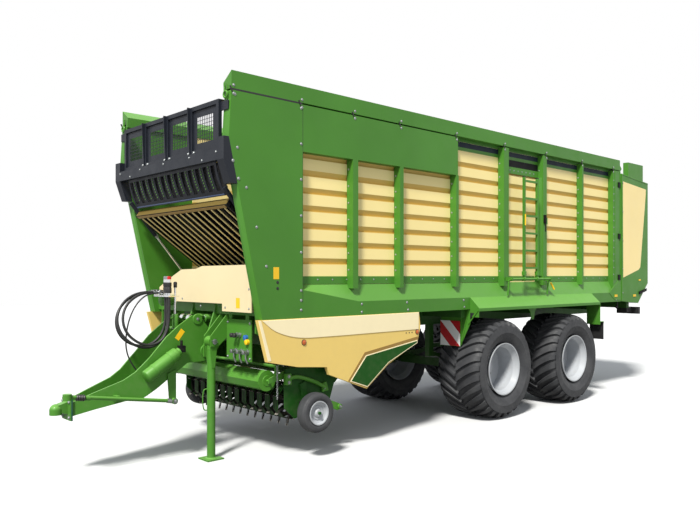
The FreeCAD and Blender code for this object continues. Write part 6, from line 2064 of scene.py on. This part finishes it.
@dataclass
class TailgateTrim:
    """Cream panels, folded edges, hinge pins, reflectors and ribbed rear wall of the tailgate."""

    face: float = SIDE_FACE
    panel: tuple[Flat, ...] = ((-4.200, 3.625), (-5.085, 3.555), (-5.085, 3.470), (-4.865, 2.130),
                               (-4.800, 2.085), (-4.215, 1.945))
    fold: tuple[Flat, ...] = ((-4.160, 3.7565), (-5.166, 3.6725), (-5.166, 3.655), (-4.160, 3.739))
    front_edge: tuple[Flat, ...] = ((-4.158, 3.735), (-4.175, 3.735), (-4.175, 1.560), (-4.158, 1.560))
    latch: tuple[Flat, ...] = ((-4.800, 1.640), (-5.085, 1.700), (-5.090, 1.745), (-4.800, 1.690))
    hinge_at: Point = (-4.200, 1.120, 3.850)
    bolt_z: tuple[float, ...] = (3.60, 3.10, 2.60, 2.10, 1.68)
    rib_y: tuple[float, ...] = (-0.735, -0.245, 0.245, 0.735)
    cross_z: Flat = (2.480, 3.080)
    frame_wide: float = 0.070

    def build(self) -> None:
        """Make the tailgate's small parts, which swing with it."""
        f = self.face
        add_pair("gate_panels", side_plate(self.panel, f, 0.002),
                 "cream_enamel", "tailgate", bevel=0.0008)
        fold = prism(self.fold, Plane.XZ, f - 0.040, f + 0.006)
        add_pair("gate_folds", fold, "light_green_enamel", "tailgate", bevel=0.002)
        edge = side_plate(self.front_edge, f, 0.005)
        add_pair("gate_front_edges", edge, "light_green_enamel", "tailgate", bevel=0.001)
        pins = turned([(0.0, 0.030), (0.012, 0.030), (0.016, 0.026)], self.hinge_at, 1, 24)
        add_pair("hinge_pins", pins, "zinc_plate", "tailgate")
        lens = Shape.join([block((-4.685, f, 1.602), (-4.590, f + 0.008, 1.642)),
                           block((-4.875, f, 1.885), (-4.805, f + 0.008, 1.912))])
        add_pair("gate_reflectors", lens, "yellow_film", "tailgate", bevel=0.003)
        heads = dome_bolts(places(-4.19, f + 0.005, self.bolt_z), 1, 0.009)
        add_pair("gate_bolts", heads, "zinc_plate", "tailgate")
        self._rear()

    def _rear(self) -> None:
        """Stand a ribbed sheet in a frame in place of the plain rear wall, and its markers."""
        low, high = corners_of("tailgate_panel")
        rear, half, wide = low[0], high[1], self.frame_wide
        skin = rear + 0.011
        wall = [(skin, 3.680), (skin, 1.847), (-4.780, 1.494), (-4.745, 1.521), (-5.120, 1.864),
                (-5.120, 3.680)]
        edge = [(rear, 1.842), (-4.780, 1.484), (-4.770, 1.496), (rear + 0.014, 1.852)]
        side = block((rear, half - wide, 1.846), (rear + 0.014, half, 3.680)).both_sides()
        frame_parts = [prism(wall, Plane.XZ, -half, half), side,
                       prism(edge, Plane.XZ, half - wide, half).both_sides(),
                       block((rear, -half, 3.669), (-5.080, half, 3.754)),
                       block((rear, -half + 0.069, 1.850), (rear + 0.014, half - 0.069, 1.900))]
        add_piece("gate_rear_wall", Shape.join(frame_parts), "green_enamel", "tailgate",
                  ("tailgate_panel",), bevel=0.002)
        rib = prism([(rear + 0.001, -0.028), (rear + 0.001, 0.028), (skin + 0.001, 0.046),
                     (skin + 0.001, -0.046)], Plane.XY, 1.940, 3.620)
        cross = [prism([(rear + 0.001, z - 0.020), (rear + 0.001, z + 0.020), (skin + 0.001, z + 0.034),
                        (skin + 0.001, z - 0.034)], Plane.XZ, -half + 0.090, half - 0.090)
                 for z in self.cross_z]
        ribs = rib.repeated(places(0, self.rib_y, 0))
        add_piece("gate_rear_ribs", Shape.join([ribs, *cross]), "green_enamel", "tailgate", bevel=0.003)
        z = np.linspace(1.98, 3.58, 9)
        add_pair("gate_rear_bolts", dome_bolts(places(skin, half - 0.095, z), 0, 0.009, -1.0),
                 "zinc_plate", "tailgate")
        marker = prism([(0.860, 1.960), (1.000, 1.960), (0.930, 2.081)], Plane.YZ, rear + 0.004,
                       skin + 0.001)
        add_pair("gate_rear_markers", marker, "red_lens", "tailgate", bevel=0.002)
        plate = block((rear + 0.006, -0.260, 1.960), (skin + 0.001, 0.260, 2.070))
        add_piece("blank_plate", plate, "silver_enamel", "tailgate", bevel=0.002)
        arm = prism(self.latch, Plane.XZ, self.face + 0.0005, self.face + 0.022)
        add_pair("gate_latch_arms", arm, "black_enamel", "tailgate", bevel=0.003)


@dataclass
class RearTrim:
    """Lamp boxes with their lenses, and rope rollers, at the rear of the wagon."""

    lamp_top: float = 1.410
    red: tuple[Flat, ...] = ((0.79, 0.91), (1.06, 1.18))
    orange: tuple[Flat, ...] = ((0.92, 1.05),)

    def build(self) -> None:
        """Make the rear's small parts."""
        low, _ = corners_of("rear_lamps")
        x, foot = low[0], low[2]
        case = block((x + 0.002, 0.775, foot - 0.003), (x + 0.066, 1.193, self.lamp_top + 0.003))
        add_pair("lamp_boxes", case, "black_plastic", bevel=0.006)
        for name, finish, spans in (("lamp_red_lenses", "red_lens", self.red),
                                    ("lamp_orange_lenses", "orange_lens", self.orange)):
            lenses = [block((x, inner, foot + 0.012), (x + 0.006, outer, self.lamp_top - 0.012))
                      for inner, outer in spans]
            add_pair(name, Shape.join(lenses), finish, bevel=0.002)
        disc = turned([(-0.012, 0.020), (-0.010, 0.034), (0.010, 0.034), (0.012, 0.020)],
                      (-4.060, 1.150, 1.440), 1, 24)
        hanger = block((-4.072, 1.163, 1.440), (-4.048, 1.169, 1.562))
        add_pair("rope_rollers", Shape.join([disc, hanger]), "black_enamel", bevel=0.001)


@dataclass
class LadderTrim:
    """Caps, clamps, grip and stays of the stowed ladder, and the door's handle and latch."""

    y: float = 1.280
    bars: Flat = (-1.020, -1.355)
    stays_x: Flat = (-0.700, -1.720)

    def build(self) -> None:
        """Make the parts on the ladder and on its pivot."""
        y = self.y
        bars = self.bars
        caps = block((-0.017, -0.020, 0), (0.017, 0.020, 0.014)).repeated(places(bars, y, 3.395))
        add_piece("ladder_caps", caps, "black_plastic", "ladder", bevel=0.002)
        low = block((-0.030, -0.022, -0.03), (0.030, 0.022, 0.03)).repeated(places(bars, y, 2.010))
        add_piece("ladder_clamps", low, "light_green_enamel", "ladder", bevel=0.002)
        grip = rod((bars[0], y + 0.022, 2.70), (bars[0], y + 0.022, 2.86), 0.010)
        add_piece("ladder_grip", grip, "yellow_film", "ladder")
        tubes = [rod((x, 1.240, 1.905), (x, 1.225, 1.700), 0.013) for x in self.stays_x]
        bridge = [rod((x, 1.282, 1.930), (x, 1.240, 1.900), 0.013) for x in self.stays_x]
        add_piece("ladder_stays", Shape.join([*tubes, *bridge]), "light_green_enamel")
        handle = rod((-1.790, 1.240, 1.870), (-1.850, 1.262, 1.770), 0.014)
        add_piece("ladder_handle", handle, "yellow_film")
        latch = [block((-1.690, SIDE_FACE, 2.770), (-1.660, 1.235, 2.890)),
                 rod((-1.675, 1.225, 2.780), (-1.640, 1.245, 2.640), 0.009)]
        add_piece("door_latch", Shape.join(latch), "black_enamel", bevel=0.002)


SIDES = {"left": 1.0, "right": -1.0}
CORNERS = {f"{end}_{side}": sign for end in ("front", "rear") for side, sign in SIDES.items()}
ASSEMBLIES = (
    *(TreadTyre(f"tyre_{corner}", f"{corner}_wheel") for corner in CORNERS),
    *(WheelDetails(f"rim_{corner}", f"{corner}_wheel", sign) for corner, sign in CORNERS.items()),
    *(GaugeWheel(f"{side}_gauge_wheel", f"{side}_gauge_wheel", sign) for side, sign in SIDES.items()),
    PanelBolts(), SideTrim(), SideHoods(), FrontHoodTrim(), Grille(), FrontOpening(), StrutEnds(),
    DrawbarTrim(), HoseHolderTrim(), SupportLegTrim(), CouplingPanelTrim(), PickupTrim(),
    FenderTrim(), TailgateTrim(), RearTrim(), LadderTrim(),
)


def main() -> None:
    """Build the scene round the frame."""
    logging.basicConfig(level=logging.INFO, format="%(name)s: %(message)s")
    Studio().build()
    finish_frame_nodes()
    for hose in HOSES:
        hose.build()
    for assembly in ASSEMBLIES:
        assembly.build()


if __name__ == "__main__":
    main()
